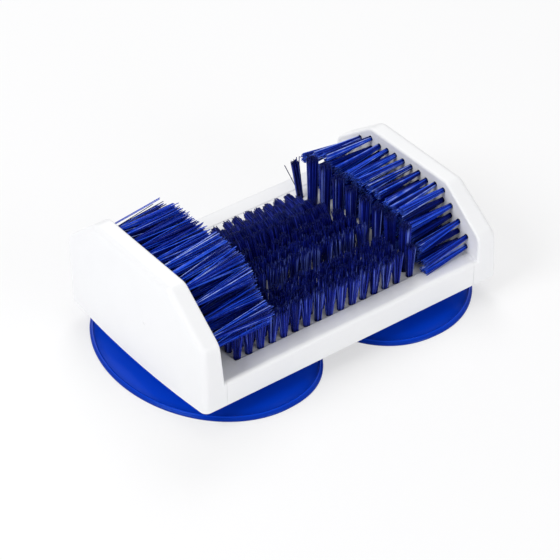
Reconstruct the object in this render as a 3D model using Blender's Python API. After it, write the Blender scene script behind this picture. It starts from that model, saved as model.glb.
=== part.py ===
"""Foot brush: a white moulded tray between two end blocks of unlike height, tufts of blue
bristle on the floor and on both inner faces, and two oval suction cups underneath.

The origin is on the ground at the centre, +X runs along the brush, -Y is its front, +Z is up.
"""

import math
from dataclasses import dataclass

import bmesh
import bpy
from mathutils import Vector

# Body
body_length = 0.200
body_depth = 0.1282
underside_height = 0.013
wall = 0.0024
fit_gap = 0.0003
cut_overrun = 0.004
join_overlap = 0.0006
edge_round = 0.0022

# Floor board and its seat: the lane from its end to the block's foot, and the room over the cup screws
end_lane = 0.01425
screw_headroom = 0.0020
rail_width = 0.0118
floor_recess = 0.0007
board_thickness = 0.0064
backing_thickness = 0.0016
seat_thickness = 0.0024

# Ribs under the tray
rib_thickness = 0.0016
rib_setback = 0.0012
rib_bays_long = 8
rib_bays_deep = 6

# End blocks
block_thickness = 0.01175
foot_step = 0.0024
corner_radius = 0.008
outer_edge_radius = 0.0037
inner_edge_radius = 0.0015
face_crown = 0.0008
crown_shares = (0.85, 0.6, 0.3)
top_point_shares = (0.5, 0.0, -0.5)
foot_point_shares = (-0.75, -0.5, -0.25, 0.0, 0.25, 0.5, 0.75)
deck_thickness = 0.0016
plate_thickness = 0.0060
side_backing_thickness = 0.0010
plate_ledge = 0.0020

# Lugs that reach from the end blocks under the tray
lug_length = 0.0135
lug_width = 0.016
lug_thickness = 0.0026
lug_height = 0.0030
lug_pitch = 0.0415
lug_clearance = 0.0005
boss_radius = 0.0043

# Self-tapping screws: shank, head, and how far each kind goes in
shank_radius = 0.0017
head_radius = 0.0032
head_height = 0.0019
lug_screw_length = 0.0092
board_screw_length = 0.0058
board_screw_bays = 1.5
cup_screw_length = 0.0078
slot_width = 0.0009
slot_depth = 0.0007
head_crown_share = 0.7

# Suction cups, placed from the blocks' feet, with a gap between them
cup_inset = 0.03235
cup_gap = 0.0014
cup_outer_reach = 0.0597
cup_half_depth = 0.0743
cup_inner_exponent = 2.35
cup_lip_thickness = 0.0014
cup_lip_height = 0.0021
cup_bead_height = 0.0031
cup_crown_thickness = 0.0056
neck_radius = 0.0070
collar_overhang = 0.0050
collar_thickness = 0.0012
socket_wall = 0.0025
ledge_thickness = 0.0025
washer_overhang = 0.0025
washer_play = 0.0015
washer_thickness = 0.0012
dome_shares = (0.06, 0.2, 0.4, 0.6, 0.78, 0.9)
dome_power = 1.5
dome_flatness = 1.2
bead_inner_share = 0.945
bead_crest_share = 0.970
bead_outer_share = 0.991
rim_foot_share = 0.982
rim_under_share = 0.994
ceiling_shares = (0.9, 0.75, 0.5, 0.25)
ceiling_flat_share = 0.8

# Floor tufts: a square grid with a lane after the third row; the back rows lie lower, row by row
tuft_pitch = 0.0078
tuft_end_margin = 0.0026
tuft_edge_margin = 0.0018
front_rows = (0, 1, 2)
middle_rows = (4, 5)
back_rows = (6, 7, 8, 9, 10)
floor_tuft_length = 0.021
back_row_shortening = 0.0007
middle_lean_degrees = (3.0, 6.0)
back_lean_degrees = (12.0, 28.0, 46.0, 62.0, 74.0)
tuft_root_half = 0.0016
tuft_tip_half = 0.0024
back_tuft_half = 0.0010
back_tuft_spread = 0.0021

# Tall tufts in one column beside the right block, with a lane between it and the floor tufts
tall_end_margin = 0.0216
tall_lane = 0.0090
tall_pitch = 0.0108
tall_length = 0.0298
tall_strand_offset = 0.0011
tall_strand_half = 0.0007
tall_tip_offset = 0.0019
tall_strip_margin = 0.0055

# Side tufts
side_column_pitch = 0.0071
side_row_pitch = 0.0066
side_foot_margin = 0.0023
side_top_margin = 0.0059
side_tuft_margin = 0.0060
right_tuft_lane = 0.00755
left_tuft_length = 0.0398
left_row_dip = 0.0029
side_root_half = 0.0015
side_tip_half = 0.0021
left_tip_spread_share = 0.012
left_droop = 0.0008
bristle_clearance = 0.0006

# How finely round shapes are divided
arc_steps = 4
round_steps = 20
cup_steps = 40
screw_steps = 10
smooth_angle = math.radians(32)

# Places worked out from the sizes above
half_length = body_length / 2
half_depth = body_depth / 2
face_x = half_length - block_thickness
foot_x = face_x - foot_step
tray_end_x = foot_x - fit_gap
board_length = 2 * (foot_x - end_lane)
board_half_depth = half_depth - rail_width
seat_height = ledge_thickness + 3 * fit_gap + washer_thickness + head_height + screw_headroom
floor_height = seat_height + board_thickness
rail_height = floor_height + floor_recess
plate_underside = seat_height - seat_thickness
pocket_floor = rail_height + deck_thickness
sink = backing_thickness / 2
floor_tips = floor_height + floor_tuft_length
cup_x = foot_x - cup_inset
cup_inner_reach = cup_x - cup_gap / 2
cup_ceiling = underside_height - cup_crown_thickness
collar_radius = neck_radius + collar_overhang
washer_radius = neck_radius + washer_overhang
socket_bore_radius = washer_radius + washer_play
socket_radius = socket_bore_radius + socket_wall
lug_hole_x = foot_x - lug_length / 2
boss_foot = lug_height + lug_thickness + fit_gap
deep_top = rail_height - wall
hollow_x = tray_end_x - wall
hollow_y = half_depth - wall
seat_x = board_length / 2 + fit_gap
seat_y = board_half_depth + fit_gap
first_column_x = tuft_end_margin - board_length / 2
first_row_y = tuft_edge_margin - board_half_depth
tall_column_x = board_length / 2 - tall_end_margin
tuft_columns = int((tall_column_x - tall_lane - first_column_x) / tuft_pitch) + 1
tall_count = int(-2 * first_row_y / tall_pitch) + 1
right_first_row = pocket_floor + fit_gap + side_foot_margin
left_first_row = floor_tips - left_row_dip
right_tuft_length = face_x - tall_column_x - right_tuft_lane


@dataclass(frozen=True)
class End:
    """One end block: its side and outline, how its outer face leans and swells, and its rows of tufts."""

    name: str
    side: int
    height: float
    shoulder_height: float
    crest_half: float
    lean_degrees: float
    face_bow: float
    foot_flare: float
    first_row: float
    tuft_length: float
    tip_spread_share: float
    droop: float


left_end = End(
    name="left",
    side=-1,
    height=0.0672,
    shoulder_height=0.0421,
    crest_half=0.0353,
    lean_degrees=2.1,
    face_bow=0.0034,
    foot_flare=0.0,
    first_row=left_first_row,
    tuft_length=left_tuft_length,
    tip_spread_share=left_tip_spread_share,
    droop=left_droop,
)
right_end = End(
    name="right",
    side=1,
    height=0.0522,
    shoulder_height=0.0300,
    crest_half=0.0344,
    lean_degrees=0.4,
    face_bow=0.0008,
    foot_flare=0.0031,
    first_row=right_first_row,
    tuft_length=right_tuft_length,
    tip_spread_share=0.0,
    droop=0.0,
)


def clear_scene():
    for thing in list(bpy.data.objects):
        bpy.data.objects.remove(thing, do_unlink=True)


def make_material(name, colour, roughness, metallic=0.0):
    material = bpy.data.materials.new(name)
    material.use_nodes = True
    shader = material.node_tree.nodes["Principled BSDF"]
    shader.inputs["Base Color"].default_value = (*colour, 1.0)
    shader.inputs["Roughness"].default_value = roughness
    shader.inputs["Metallic"].default_value = metallic
    material.diffuse_color = (*colour, 1.0)
    return material


def add_object(name, mesh_data, material, base=None):
    """Links a new object made from a bmesh, with its faces out and its round parts smooth."""
    bmesh.ops.recalc_face_normals(mesh_data, faces=mesh_data.faces[:])
    mesh = bpy.data.meshes.new(name)
    mesh_data.to_mesh(mesh)
    mesh_data.free()
    mesh.shade_smooth()
    mesh.set_sharp_from_angle(angle=smooth_angle)
    made = bpy.data.objects.new(name, mesh)
    if material:
        mesh.materials.append(material)
    bpy.context.scene.collection.objects.link(made)
    made.parent = base
    return made


def combine(target, name, mesh_data, operation):
    """Joins or cuts a helper mesh into the target with a Boolean; the helper itself is hidden."""
    helper = add_object(name, mesh_data, None, target.parent)
    helper.hide_render = True
    helper.display_type = "WIRE"
    modifier = target.modifiers.new(name, "BOOLEAN")
    modifier.operation = operation
    modifier.object = helper
    modifier.solver = "EXACT"
    return helper


def add_box(mesh_data, low, high):
    corners = []
    for x in (low[0], high[0]):
        for y in (low[1], high[1]):
            corners += [mesh_data.verts.new((x, y, low[2])), mesh_data.verts.new((x, y, high[2]))]
    for face in ((0, 1, 3, 2), (4, 6, 7, 5), (0, 4, 5, 1), (2, 3, 7, 6), (0, 2, 6, 4), (1, 5, 7, 3)):
        mesh_data.faces.new([corners[i] for i in face])


def ring_of(mesh_data, points):
    return [mesh_data.verts.new(point) for point in points]


def bridge(mesh_data, lower, upper):
    count = len(lower)
    for i in range(count):
        j = (i + 1) % count
        mesh_data.faces.new((lower[i], lower[j], upper[j], upper[i]))


def fan(mesh_data, ring, centre):
    middle = mesh_data.verts.new(centre)
    count = len(ring)
    for i in range(count):
        mesh_data.faces.new((ring[i], ring[(i + 1) % count], middle))


def add_cylinder(mesh_data, centre, radius, low, high, steps=round_steps):
    """A closed upright cylinder about centre (x, y), from low to high."""

    def circle(height):
        turns = [math.tau * i / steps for i in range(steps)]
        return [(centre[0] + radius * math.cos(a), centre[1] + radius * math.sin(a), height) for a in turns]

    bottom, top = ring_of(mesh_data, circle(low)), ring_of(mesh_data, circle(high))
    bridge(mesh_data, bottom, top)
    mesh_data.faces.new(bottom)
    mesh_data.faces.new(top)


def turned_rings(mesh_data, profile, steps, centre=(0.0, 0.0)):
    """Round rings through a profile of (radius, height) pairs, closed with a fan at each end."""
    rings = []
    for radius, height in profile:
        turns = [math.tau * i / steps for i in range(steps)]
        rings.append(
            ring_of(
                mesh_data,
                [
                    (centre[0] + radius * math.cos(a), centre[1] + radius * math.sin(a), height)
                    for a in turns
                ],
            )
        )
    for lower, upper in zip(rings, rings[1:]):
        bridge(mesh_data, lower, upper)
    fan(mesh_data, rings[0], (*centre, profile[0][1]))
    fan(mesh_data, rings[-1], (*centre, profile[-1][1]))


def even(count, low, high):
    """That many whole parts between low and high, as their count + 1 limits."""
    return [low + (high - low) * i / count for i in range(count + 1)]


def fillet(before, corner, after, radius):
    """Points of the arc of this radius that rounds a corner."""
    towards = (before - corner).normalized()
    onwards = (after - corner).normalized()
    half_angle = towards.angle(onwards) / 2
    centre = corner + (towards + onwards).normalized() * (radius / math.sin(half_angle))
    start = corner + towards * (radius / math.tan(half_angle)) - centre
    end = corner + onwards * (radius / math.tan(half_angle)) - centre
    turn = start.angle_signed(end)
    points = []
    for i in range(arc_steps + 1):
        angle = -turn * i / arc_steps
        rotated = Vector(
            (
                start.x * math.cos(angle) - start.y * math.sin(angle),
                start.x * math.sin(angle) + start.y * math.cos(angle),
            )
        )
        points.append(centre + rotated)
    return points


def block_outline(end, inset, bottom):
    """Outline (y, z) of an end block drawn in by inset, over its top from back to front to a flat bottom."""
    shoulder = Vector((half_depth, end.shoulder_height))
    crest = Vector((end.crest_half, end.height))
    along = (crest - shoulder).normalized()
    normal = Vector((along.y, -along.x))
    reach = normal.dot(shoulder) - inset
    side_y, top_z = half_depth - inset, end.height - inset
    inner_shoulder = Vector((side_y, (reach - normal.x * side_y) / normal.y))
    inner_crest = Vector(((reach - normal.y * top_z) / normal.x, top_z))
    radius = max(corner_radius - inset, corner_radius / 4)
    foot = Vector((side_y, bottom))
    half = [foot]
    if bottom < rail_height:
        half.append(Vector((side_y, rail_height)))
    half += fillet(foot, inner_shoulder, inner_crest, radius)
    half += fillet(inner_shoulder, inner_crest, Vector((0.0, top_z)), radius)
    mirrored = [Vector((-point.x, point.y)) for point in reversed(half)]
    top = [Vector((share * half[-1].x, top_z)) for share in top_point_shares]
    base = [Vector((share * side_y, bottom)) for share in foot_point_shares]
    return half + top + mirrored + base


def lean_out(end, height):
    """How far the block has leaned outward at a height over the tray's underside."""
    return math.tan(math.radians(end.lean_degrees)) * max(0.0, height - rail_height)


def block_ring(mesh_data, end, outline, x, bow_share=0.0, crown=0.0):
    """One ring of a block at a distance x from the middle, bowed and crowned outward."""
    points = []
    for y, z in outline:
        swell = end.foot_flare + end.face_bow * (1 - (y / half_depth) ** 2)
        bow = bow_share * swell * (1 - z / end.height)
        points.append((end.side * (x + lean_out(end, z) + bow + crown), y, z))
    return ring_of(mesh_data, points)


def block_shape(end):
    """The outer shape of an end block: rounded edges, a bowed and crowned outer face."""
    shape = bmesh.new()
    rings = []
    turns = [math.pi / 2 * i / arc_steps for i in range(arc_steps + 1)]
    for angle in turns:
        inset = inner_edge_radius * (1 - math.sin(angle))
        x = face_x + inner_edge_radius * (1 - math.cos(angle))
        rings.append(block_ring(shape, end, block_outline(end, inset, 0.0), x))
    for angle in turns:
        inset = outer_edge_radius * (1 - math.cos(angle))
        x = half_length - outer_edge_radius * (1 - math.sin(angle))
        rings.append(block_ring(shape, end, block_outline(end, inset, 0.0), x, 1.0))
    middle = Vector((0.0, end.height / 2))
    outline = block_outline(end, outer_edge_radius, 0.0)
    for share in crown_shares:
        drawn = [middle + (point - middle) * share for point in outline]
        rings.append(block_ring(shape, end, drawn, half_length, 1.0, face_crown * (1 - share**2)))
    for lower, upper in zip(rings, rings[1:]):
        bridge(shape, lower, upper)
    bow = (end.foot_flare + end.face_bow) * (1 - middle.y / end.height)
    outermost = half_length + lean_out(end, middle.y) + bow + face_crown
    fan(shape, rings[-1], (end.side * outermost, 0.0, middle.y))
    close_inner_face(shape, rings[0])
    return shape


def close_inner_face(shape, ring):
    """Closes a block's inner face with one flat face below the rail height and one above it."""
    first, second = [i for i, vertex in enumerate(ring) if abs(vertex.co.z - rail_height) < fit_gap]
    shape.faces.new(ring[first : second + 1])
    shape.faces.new(ring[second:] + ring[: first + 1])


def plate_shape(end, inset, bottom, near, far):
    """A flat plate with a block's outline drawn in, between two distances from the middle."""
    shape = bmesh.new()
    outline = block_outline(end, inset, bottom)
    inner, outer = block_ring(shape, end, outline, near), block_ring(shape, end, outline, far)
    bridge(shape, inner, outer)
    shape.faces.new(inner)
    shape.faces.new(outer)
    return shape


def side_box(mesh_data, end, near, far, low_y, high_y, low_z, high_z):
    """A box between two distances from the middle, on the block's own side."""
    low_x, high_x = sorted((end.side * near, end.side * far))
    add_box(mesh_data, (low_x, low_y, low_z), (high_x, high_y, high_z))


def rail_profile(top, half):
    """Cross-section (y, z) of the tray, with its two long top edges rounded."""
    points = [(-half, 0.0)]
    for i in range(arc_steps + 1):
        angle = math.pi / 2 * i / arc_steps
        points.append(
            (-half + edge_round * (1 - math.cos(angle)), top - edge_round * (1 - math.sin(angle)))
        )
    return points + [(-y, z) for y, z in reversed(points)]


def extruded_profile(near, far):
    shape = bmesh.new()
    profile = rail_profile(rail_height, half_depth)
    first = ring_of(shape, [(near, y, z) for y, z in profile])
    last = ring_of(shape, [(far, y, z) for y, z in profile])
    bridge(shape, first, last)
    shape.faces.new(first)
    shape.faces.new(last)
    return shape


def lug_places():
    """Places (y) of the three lugs of an end block."""
    return (-lug_pitch, 0.0, lug_pitch)


def board_screw_places():
    """Places (x, y) of the board's four screws, each in the middle of a bay between the ribs."""
    x = 2 * hollow_x / rib_bays_long * board_screw_bays
    y = 2 * hollow_y / rib_bays_deep * board_screw_bays
    return [(-x, -y), (-x, y), (x, -y), (x, y)]


def hollow_tray(tray):
    """Opens the tray below: one hollow under the board's seat, and deeper channels all round it."""
    hollow = bmesh.new()
    add_box(hollow, (-hollow_x, -hollow_y, -cut_overrun), (hollow_x, hollow_y, plate_underside))
    combine(tray, "tray_hollow", hollow, "DIFFERENCE")

    channels = bmesh.new()
    channel_low = plate_underside - wall
    for side in (-1, 1):
        low_y, high_y = sorted((side * (seat_y + wall), side * hollow_y))
        add_box(channels, (-hollow_x, low_y, channel_low), (hollow_x, high_y, deep_top))
        low_x, high_x = sorted((side * (seat_x + wall), side * hollow_x))
        add_box(channels, (low_x, -seat_y, channel_low), (high_x, seat_y, deep_top))
    combine(tray, "rail_channels", channels, "DIFFERENCE")


def rib_tray(tray):
    """Crossing ribs under the tray, set back a little from its underside."""
    cross_ribs = bmesh.new()
    for x in even(rib_bays_long, -hollow_x, hollow_x)[1:-1]:
        low = (x - rib_thickness / 2, -hollow_y - join_overlap, rib_setback)
        high = (x + rib_thickness / 2, hollow_y + join_overlap, plate_underside + join_overlap)
        add_box(cross_ribs, low, high)
    combine(tray, "cross_ribs", cross_ribs, "UNION")

    long_ribs = bmesh.new()
    rib_end = hollow_x + join_overlap
    for y in even(rib_bays_deep, -hollow_y, hollow_y)[1:-1]:
        low = (-rib_end, y - rib_thickness / 2, rib_setback + join_overlap / 2)
        high = (rib_end, y + rib_thickness / 2, plate_underside + join_overlap / 2)
        add_box(long_ribs, low, high)
    combine(tray, "long_ribs", long_ribs, "UNION")


def add_tray_bosses(tray):
    """The two cup sockets, and a screw boss over each lug."""
    bosses = bmesh.new()
    socket_top = plate_underside + 2 * join_overlap
    for side in (-1, 1):
        add_cylinder(bosses, (side * cup_x, 0.0), socket_radius, 0.0, socket_top, cup_steps)
        for y in lug_places():
            add_cylinder(bosses, (side * lug_hole_x, y), boss_radius, boss_foot, deep_top + join_overlap)
    combine(tray, "bosses", bosses, "UNION")


def cut_tray_bores(tray):
    """The stepped bores of the cup sockets and the holes for the screws."""
    hole_radius = shank_radius + fit_gap
    bores = bmesh.new()
    for side in (-1, 1):
        profile = (
            (neck_radius + fit_gap, -cut_overrun),
            (neck_radius + fit_gap, ledge_thickness),
            (socket_bore_radius, ledge_thickness),
            (socket_bore_radius, seat_height + cut_overrun),
        )
        turned_rings(bores, profile, cup_steps, (side * cup_x, 0.0))
        for y in lug_places():
            place = (side * lug_hole_x, y)
            high = boss_foot + lug_screw_length - lug_thickness
            add_cylinder(bores, place, hole_radius, boss_foot - cut_overrun, high, screw_steps)
    for place in board_screw_places():
        low, high = plate_underside - cut_overrun, seat_height + cut_overrun
        add_cylinder(bores, place, hole_radius, low, high, screw_steps)
    combine(tray, "tray_bores", bores, "DIFFERENCE")


def notch_tray_for_lugs(tray):
    notches = bmesh.new()
    half = lug_width / 2 + lug_clearance
    near = foot_x - lug_length - lug_clearance
    for end in (left_end, right_end):
        for y in lug_places():
            side_box(notches, end, near, foot_x + cut_overrun, y - half, y + half, -cut_overrun, boss_foot)
    combine(tray, "lug_notches", notches, "DIFFERENCE")


def make_tray(material, base):
    """The moulded tray: rails, board seat, ribs, screw bosses and the two cup sockets, open below."""
    tray = add_object("base_tray", extruded_profile(-tray_end_x, tray_end_x), material, base)
    hollow_tray(tray)
    rib_tray(tray)
    add_tray_bosses(tray)
    seat = bmesh.new()
    add_box(seat, (-seat_x, -seat_y, seat_height), (seat_x, seat_y, rail_height + cut_overrun))
    combine(tray, "board_seat", seat, "DIFFERENCE")
    cut_tray_bores(tray)
    notch_tray_for_lugs(tray)
    return tray


def make_board(material, base):
    """The floor board that the tufts are set in, held from below by four screws."""
    shape = bmesh.new()
    top = floor_height - backing_thickness - fit_gap
    bottom = seat_height + fit_gap
    half_x = board_length / 2
    add_box(shape, (-half_x, -board_half_depth, bottom), (half_x, board_half_depth, top))
    board = add_object("floor_board", shape, material, base)
    holes = bmesh.new()
    for place in board_screw_places():
        high = plate_underside + board_screw_length + fit_gap
        add_cylinder(holes, place, shank_radius + fit_gap, bottom - cut_overrun, high, screw_steps)
    combine(board, "board_holes", holes, "DIFFERENCE")
    return board


def make_casing(end, material, base):
    """The shell of an end block with its foot, its lugs, and the pocket that the brush plate closes."""
    casing = add_object(f"{end.name}_end_casing", block_shape(end), material, base)
    near, far = sorted((end.side * foot_x, end.side * (face_x + 2 * wall)))
    foot = extruded_profile(near, far)
    combine(casing, f"{end.name}_foot", foot, "UNION")

    lugs = bmesh.new()
    for y in lug_places():
        low_y, high_y = y - lug_width / 2, y + lug_width / 2
        near = foot_x - lug_length
        side_box(lugs, end, near, foot_x + wall / 2, low_y, high_y, lug_height, lug_height + lug_thickness)
    combine(casing, f"{end.name}_lugs", lugs, "UNION")

    near, far = foot_x - cut_overrun, face_x + plate_thickness + fit_gap
    pocket = plate_shape(end, wall, pocket_floor, near, far)
    combine(casing, f"{end.name}_pocket", pocket, "DIFFERENCE")
    near, far = face_x + plate_thickness / 2, half_length - wall
    cavity = plate_shape(end, wall + plate_ledge, pocket_floor + plate_ledge, near, far)
    combine(casing, f"{end.name}_cavity", cavity, "DIFFERENCE")

    under = bmesh.new()
    limits = even(rib_bays_deep, -half_depth + wall, half_depth - wall)
    for low_y, high_y in zip(limits, limits[1:]):
        low_y, high_y = low_y + rib_thickness / 2, high_y - rib_thickness / 2
        side_box(under, end, face_x, half_length - wall, low_y, high_y, -cut_overrun, pocket_floor - wall)
    combine(casing, f"{end.name}_foot_pockets", under, "DIFFERENCE")

    holes = bmesh.new()
    for y in lug_places():
        low, high = lug_height - cut_overrun, lug_height + lug_thickness + cut_overrun
        add_cylinder(holes, (end.side * lug_hole_x, y), shank_radius + fit_gap, low, high, screw_steps)
    combine(casing, f"{end.name}_lug_holes", holes, "DIFFERENCE")
    return casing


def make_side_plate(end, material, base):
    """The plate behind an end block's tufts, seated on the ledge inside the casing."""
    near = face_x + side_backing_thickness + fit_gap
    far = face_x + plate_thickness
    shape = plate_shape(end, wall + fit_gap, pocket_floor + fit_gap, near, far)
    return add_object(f"{end.name}_brush_plate", shape, material, base)


def add_strand(
    mesh_data, root, direction, length, root_halves, tip_halves, across, plane_normal, sink_depth, bend=0.0
):
    """A four-sided strand. Its root ring lies flat in the backing, its tip ring square to the strand."""
    direction = direction.normalized()
    up = plane_normal
    other = up.cross(across)
    lean = direction.dot(up)
    root_centre = root - direction * (sink_depth / lean)
    stretch = 1 / lean
    wide, deep = root_halves
    signs = ((-1, -1), (1, -1), (1, 1), (-1, 1))
    base_ring = [root_centre + across * (a * wide) + other * (b * deep * stretch) for a, b in signs]
    tip_other = direction.cross(across)
    tip_centre = root + direction * length
    wide, deep = tip_halves
    tip_ring = [tip_centre + across * (a * wide) + tip_other * (b * deep) for a, b in signs]
    rings = [ring_of(mesh_data, base_ring)]
    if bend:
        middle = [(p + q) / 2 + Vector((0.0, 0.0, bend)) for p, q in zip(base_ring, tip_ring)]
        rings.append(ring_of(mesh_data, middle))
    rings.append(ring_of(mesh_data, tip_ring))
    for lower, upper in zip(rings, rings[1:]):
        bridge(mesh_data, lower, upper)
    mesh_data.faces.new(rings[0])
    mesh_data.faces.new(rings[-1])


def make_floor_tufts(name, rows, leans, shortening, halves, strip, material, base):
    """Some rows of floor tufts, fused to their strip of the board's top.

    shortening is how much shorter each row is than the one before it, and strip gives its limits in y.
    """
    backing = bmesh.new()
    half_x = board_length / 2
    high_x = tall_column_x - tall_strip_margin - fit_gap
    low = (-half_x, strip[0], floor_height - backing_thickness)
    add_box(backing, low, (high_x, strip[1], floor_height))
    tufts = add_object(name, backing, material, base)
    strands = bmesh.new()
    across, up = Vector((1.0, 0.0, 0.0)), Vector((0.0, 0.0, 1.0))
    for number, (row, lean) in enumerate(zip(rows, leans)):
        angle = math.radians(lean)
        direction = Vector((0.0, math.sin(angle), math.cos(angle)))
        length = floor_tuft_length - shortening * number
        for column in range(tuft_columns):
            x, y = first_column_x + tuft_pitch * column, first_row_y + tuft_pitch * row
            root = Vector((x, y, floor_height))
            add_strand(strands, root, direction, length, halves[0], halves[1], across, up, sink)
    combine(tufts, f"{name}_strands", strands, "UNION")
    return tufts


def strip_limits():
    """The board's top is divided midway between the groups of rows."""
    front_lane = first_row_y + tuft_pitch * (front_rows[-1] + middle_rows[0]) / 2
    back_lane = first_row_y + tuft_pitch * (middle_rows[-1] + back_rows[0]) / 2
    gap = fit_gap / 2
    return (
        (-board_half_depth, front_lane - gap),
        (front_lane + gap, back_lane - gap),
        (back_lane + gap, board_half_depth),
    )


def make_tall_tufts(material, base):
    """The column of tall tufts near the right block, fused to the right end of the board's top."""
    backing = bmesh.new()
    low_x = tall_column_x - tall_strip_margin
    add_box(
        backing,
        (low_x, -board_half_depth, floor_height - backing_thickness),
        (board_length / 2, board_half_depth, floor_height),
    )
    tufts = add_object("tall_tufts", backing, material, base)
    strands = bmesh.new()
    across, up = Vector((0.0, 1.0, 0.0)), Vector((0.0, 0.0, 1.0))
    halves = (tuft_root_half, tall_strand_half)
    for number in range(tall_count):
        y = first_row_y + tall_pitch * number
        for side in (-1, 1):
            root = Vector((tall_column_x + side * tall_strand_offset, y, floor_height))
            direction = Vector((side * (tall_tip_offset - tall_strand_offset), 0.0, tall_length))
            add_strand(strands, root, direction, tall_length, halves, halves, across, up, sink)
    combine(tufts, "tall_strands", strands, "UNION")
    return tufts


def side_tuft_places(end):
    """Places (y, z) of a block's tufts: rows that stay inside its outline by the tuft margin."""
    shoulder = Vector((half_depth, end.shoulder_height))
    crest = Vector((end.crest_half, end.height))
    along = (crest - shoulder).normalized()
    normal = Vector((along.y, -along.x))
    reach = normal.dot(shoulder) - side_tuft_margin
    places = []
    row_z = end.first_row
    while row_z <= end.height - side_top_margin:
        widest = min(half_depth - side_tuft_margin, (reach - normal.y * row_z) / normal.x)
        columns = int((widest + side_column_pitch / 2) / side_column_pitch)
        for column in range(columns):
            y = side_column_pitch * (column + 1 / 2)
            places += [(y, row_z), (-y, row_z)]
        row_z += side_row_pitch
    return places


def side_tuft_length(end, z):
    """A row that would run into the floor tufts stops just short of them."""
    lowest_tip = z - end.droop - side_tip_half - bristle_clearance
    if end.side * first_column_x > 0 and lowest_tip < floor_tips:
        room = face_x + lean_out(end, z) - abs(first_column_x) - tuft_tip_half - bristle_clearance
        return min(end.tuft_length, room)
    return end.tuft_length


def make_side_tufts(end, material, base):
    """The tufts on a block's inner face, fused to the thin layer of plate that they stand in."""
    backing = plate_shape(
        end, wall + fit_gap, pocket_floor + fit_gap, face_x, face_x + side_backing_thickness
    )
    tufts = add_object(f"{end.name}_side_tufts", backing, material, base)
    strands = bmesh.new()
    across = Vector((0.0, 1.0, 0.0))
    angle = math.radians(end.lean_degrees)
    inward = Vector((-end.side * math.cos(angle), 0.0, math.sin(angle)))
    middle = end.height / 2
    for y, z in side_tuft_places(end):
        root = Vector((end.side * (face_x + lean_out(end, z)), y, z))
        spread = Vector((0.0, y * end.tip_spread_share, (z - middle) * end.tip_spread_share))
        length = side_tuft_length(end, z)
        direction = inward * end.tuft_length + spread
        halves = ((side_root_half, side_root_half), (side_tip_half, side_tip_half))
        add_strand(
            strands, root, direction, length, *halves, across, inward, side_backing_thickness / 2, end.droop
        )
    combine(tufts, f"{end.name}_strands", strands, "UNION")
    return tufts


def cup_edge(turn, share, centre_radius):
    """Point (x, y) of the cup at a turn, share of the way from a round about its axis to its oval edge."""
    outward, sideways = math.cos(turn), math.sin(turn)
    exponent = 2.0 if outward >= 0 else cup_inner_exponent
    reach = cup_outer_reach if outward >= 0 else cup_inner_reach
    x = math.copysign(reach * abs(outward) ** (2 / exponent), outward)
    y = math.copysign(cup_half_depth * abs(sideways) ** (2 / exponent), sideways)
    round_x, round_y = centre_radius * outward, centre_radius * sideways
    return round_x + (x - round_x) * share, round_y + (y - round_y) * share


def cup_profile():
    """The cup's skin as (radius, share, height), from the screw bore over dome and rim to the ceiling."""
    neck_top = underside_height + ledge_thickness + fit_gap
    collar_top = underside_height - fit_gap
    bore = shank_radius + fit_gap
    bore_end = neck_top + washer_thickness - cup_screw_length
    chamfer = cup_lip_thickness / 2
    rings = [
        (bore, 0.0, bore_end),
        (bore, 0.0, neck_top),
        (neck_radius - chamfer, 0.0, neck_top),
        (neck_radius, 0.0, neck_top - chamfer),
        (neck_radius, 0.0, collar_top),
        (collar_radius - chamfer, 0.0, collar_top),
        (collar_radius, 0.0, collar_top - chamfer),
    ]
    dome_top = collar_top - collar_thickness
    for share in dome_shares:
        rise = (1 - share**dome_power) ** dome_flatness
        rings.append((collar_radius, share, cup_lip_height + (dome_top - cup_lip_height) * rise))
    rings += [
        (collar_radius, bead_inner_share, cup_bead_height - chamfer / 2),
        (collar_radius, bead_crest_share, cup_bead_height),
        (collar_radius, bead_outer_share, cup_bead_height - chamfer),
        (collar_radius, 1.0, cup_lip_thickness),
        (collar_radius, rim_under_share, cup_lip_thickness / 4),
        (collar_radius, rim_foot_share, 0.0),
        (collar_radius, bead_inner_share, 0.0),
    ]
    for share in ceiling_shares:
        rings.append((collar_radius, share, cup_ceiling * (1 - share**2)))
    rings.append((collar_radius * ceiling_flat_share, 0.0, cup_ceiling))
    return rings, bore_end


def make_cup(name, side, material, base):
    """An oval suction cup with a round neck, its origin on the axis that it turns about."""
    rings, bore_end = cup_profile()
    shape = bmesh.new()
    turns = [math.tau * i / cup_steps for i in range(cup_steps)]
    made = []
    for radius, share, height in rings:
        points = []
        for turn in turns:
            x, y = cup_edge(turn, share, radius)
            points.append((side * x, y, height))
        made.append(ring_of(shape, points))
    for lower, upper in zip(made, made[1:]):
        bridge(shape, lower, upper)
    fan(shape, made[0], (0.0, 0.0, bore_end))
    fan(shape, made[-1], (0.0, 0.0, cup_ceiling))
    cup = add_object(name, shape, material, base)
    cup.location = (side * cup_x, 0.0, 0.0)
    return cup


def make_washer(name, side, material, base):
    shape = bmesh.new()
    low = underside_height + ledge_thickness + 2 * fit_gap
    high = low + washer_thickness
    hole = shank_radius + fit_gap
    turns = [math.tau * i / round_steps for i in range(round_steps)]
    rings = []
    for radius, height in ((hole, low), (washer_radius, low), (washer_radius, high), (hole, high)):
        rings.append(ring_of(shape, [(radius * math.cos(a), radius * math.sin(a), height) for a in turns]))
    for lower, upper in zip(rings, rings[1:] + rings[:1]):
        bridge(shape, lower, upper)
    washer = add_object(name, shape, material, base)
    washer.location = (side * cup_x, 0.0, 0.0)
    return washer


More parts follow.
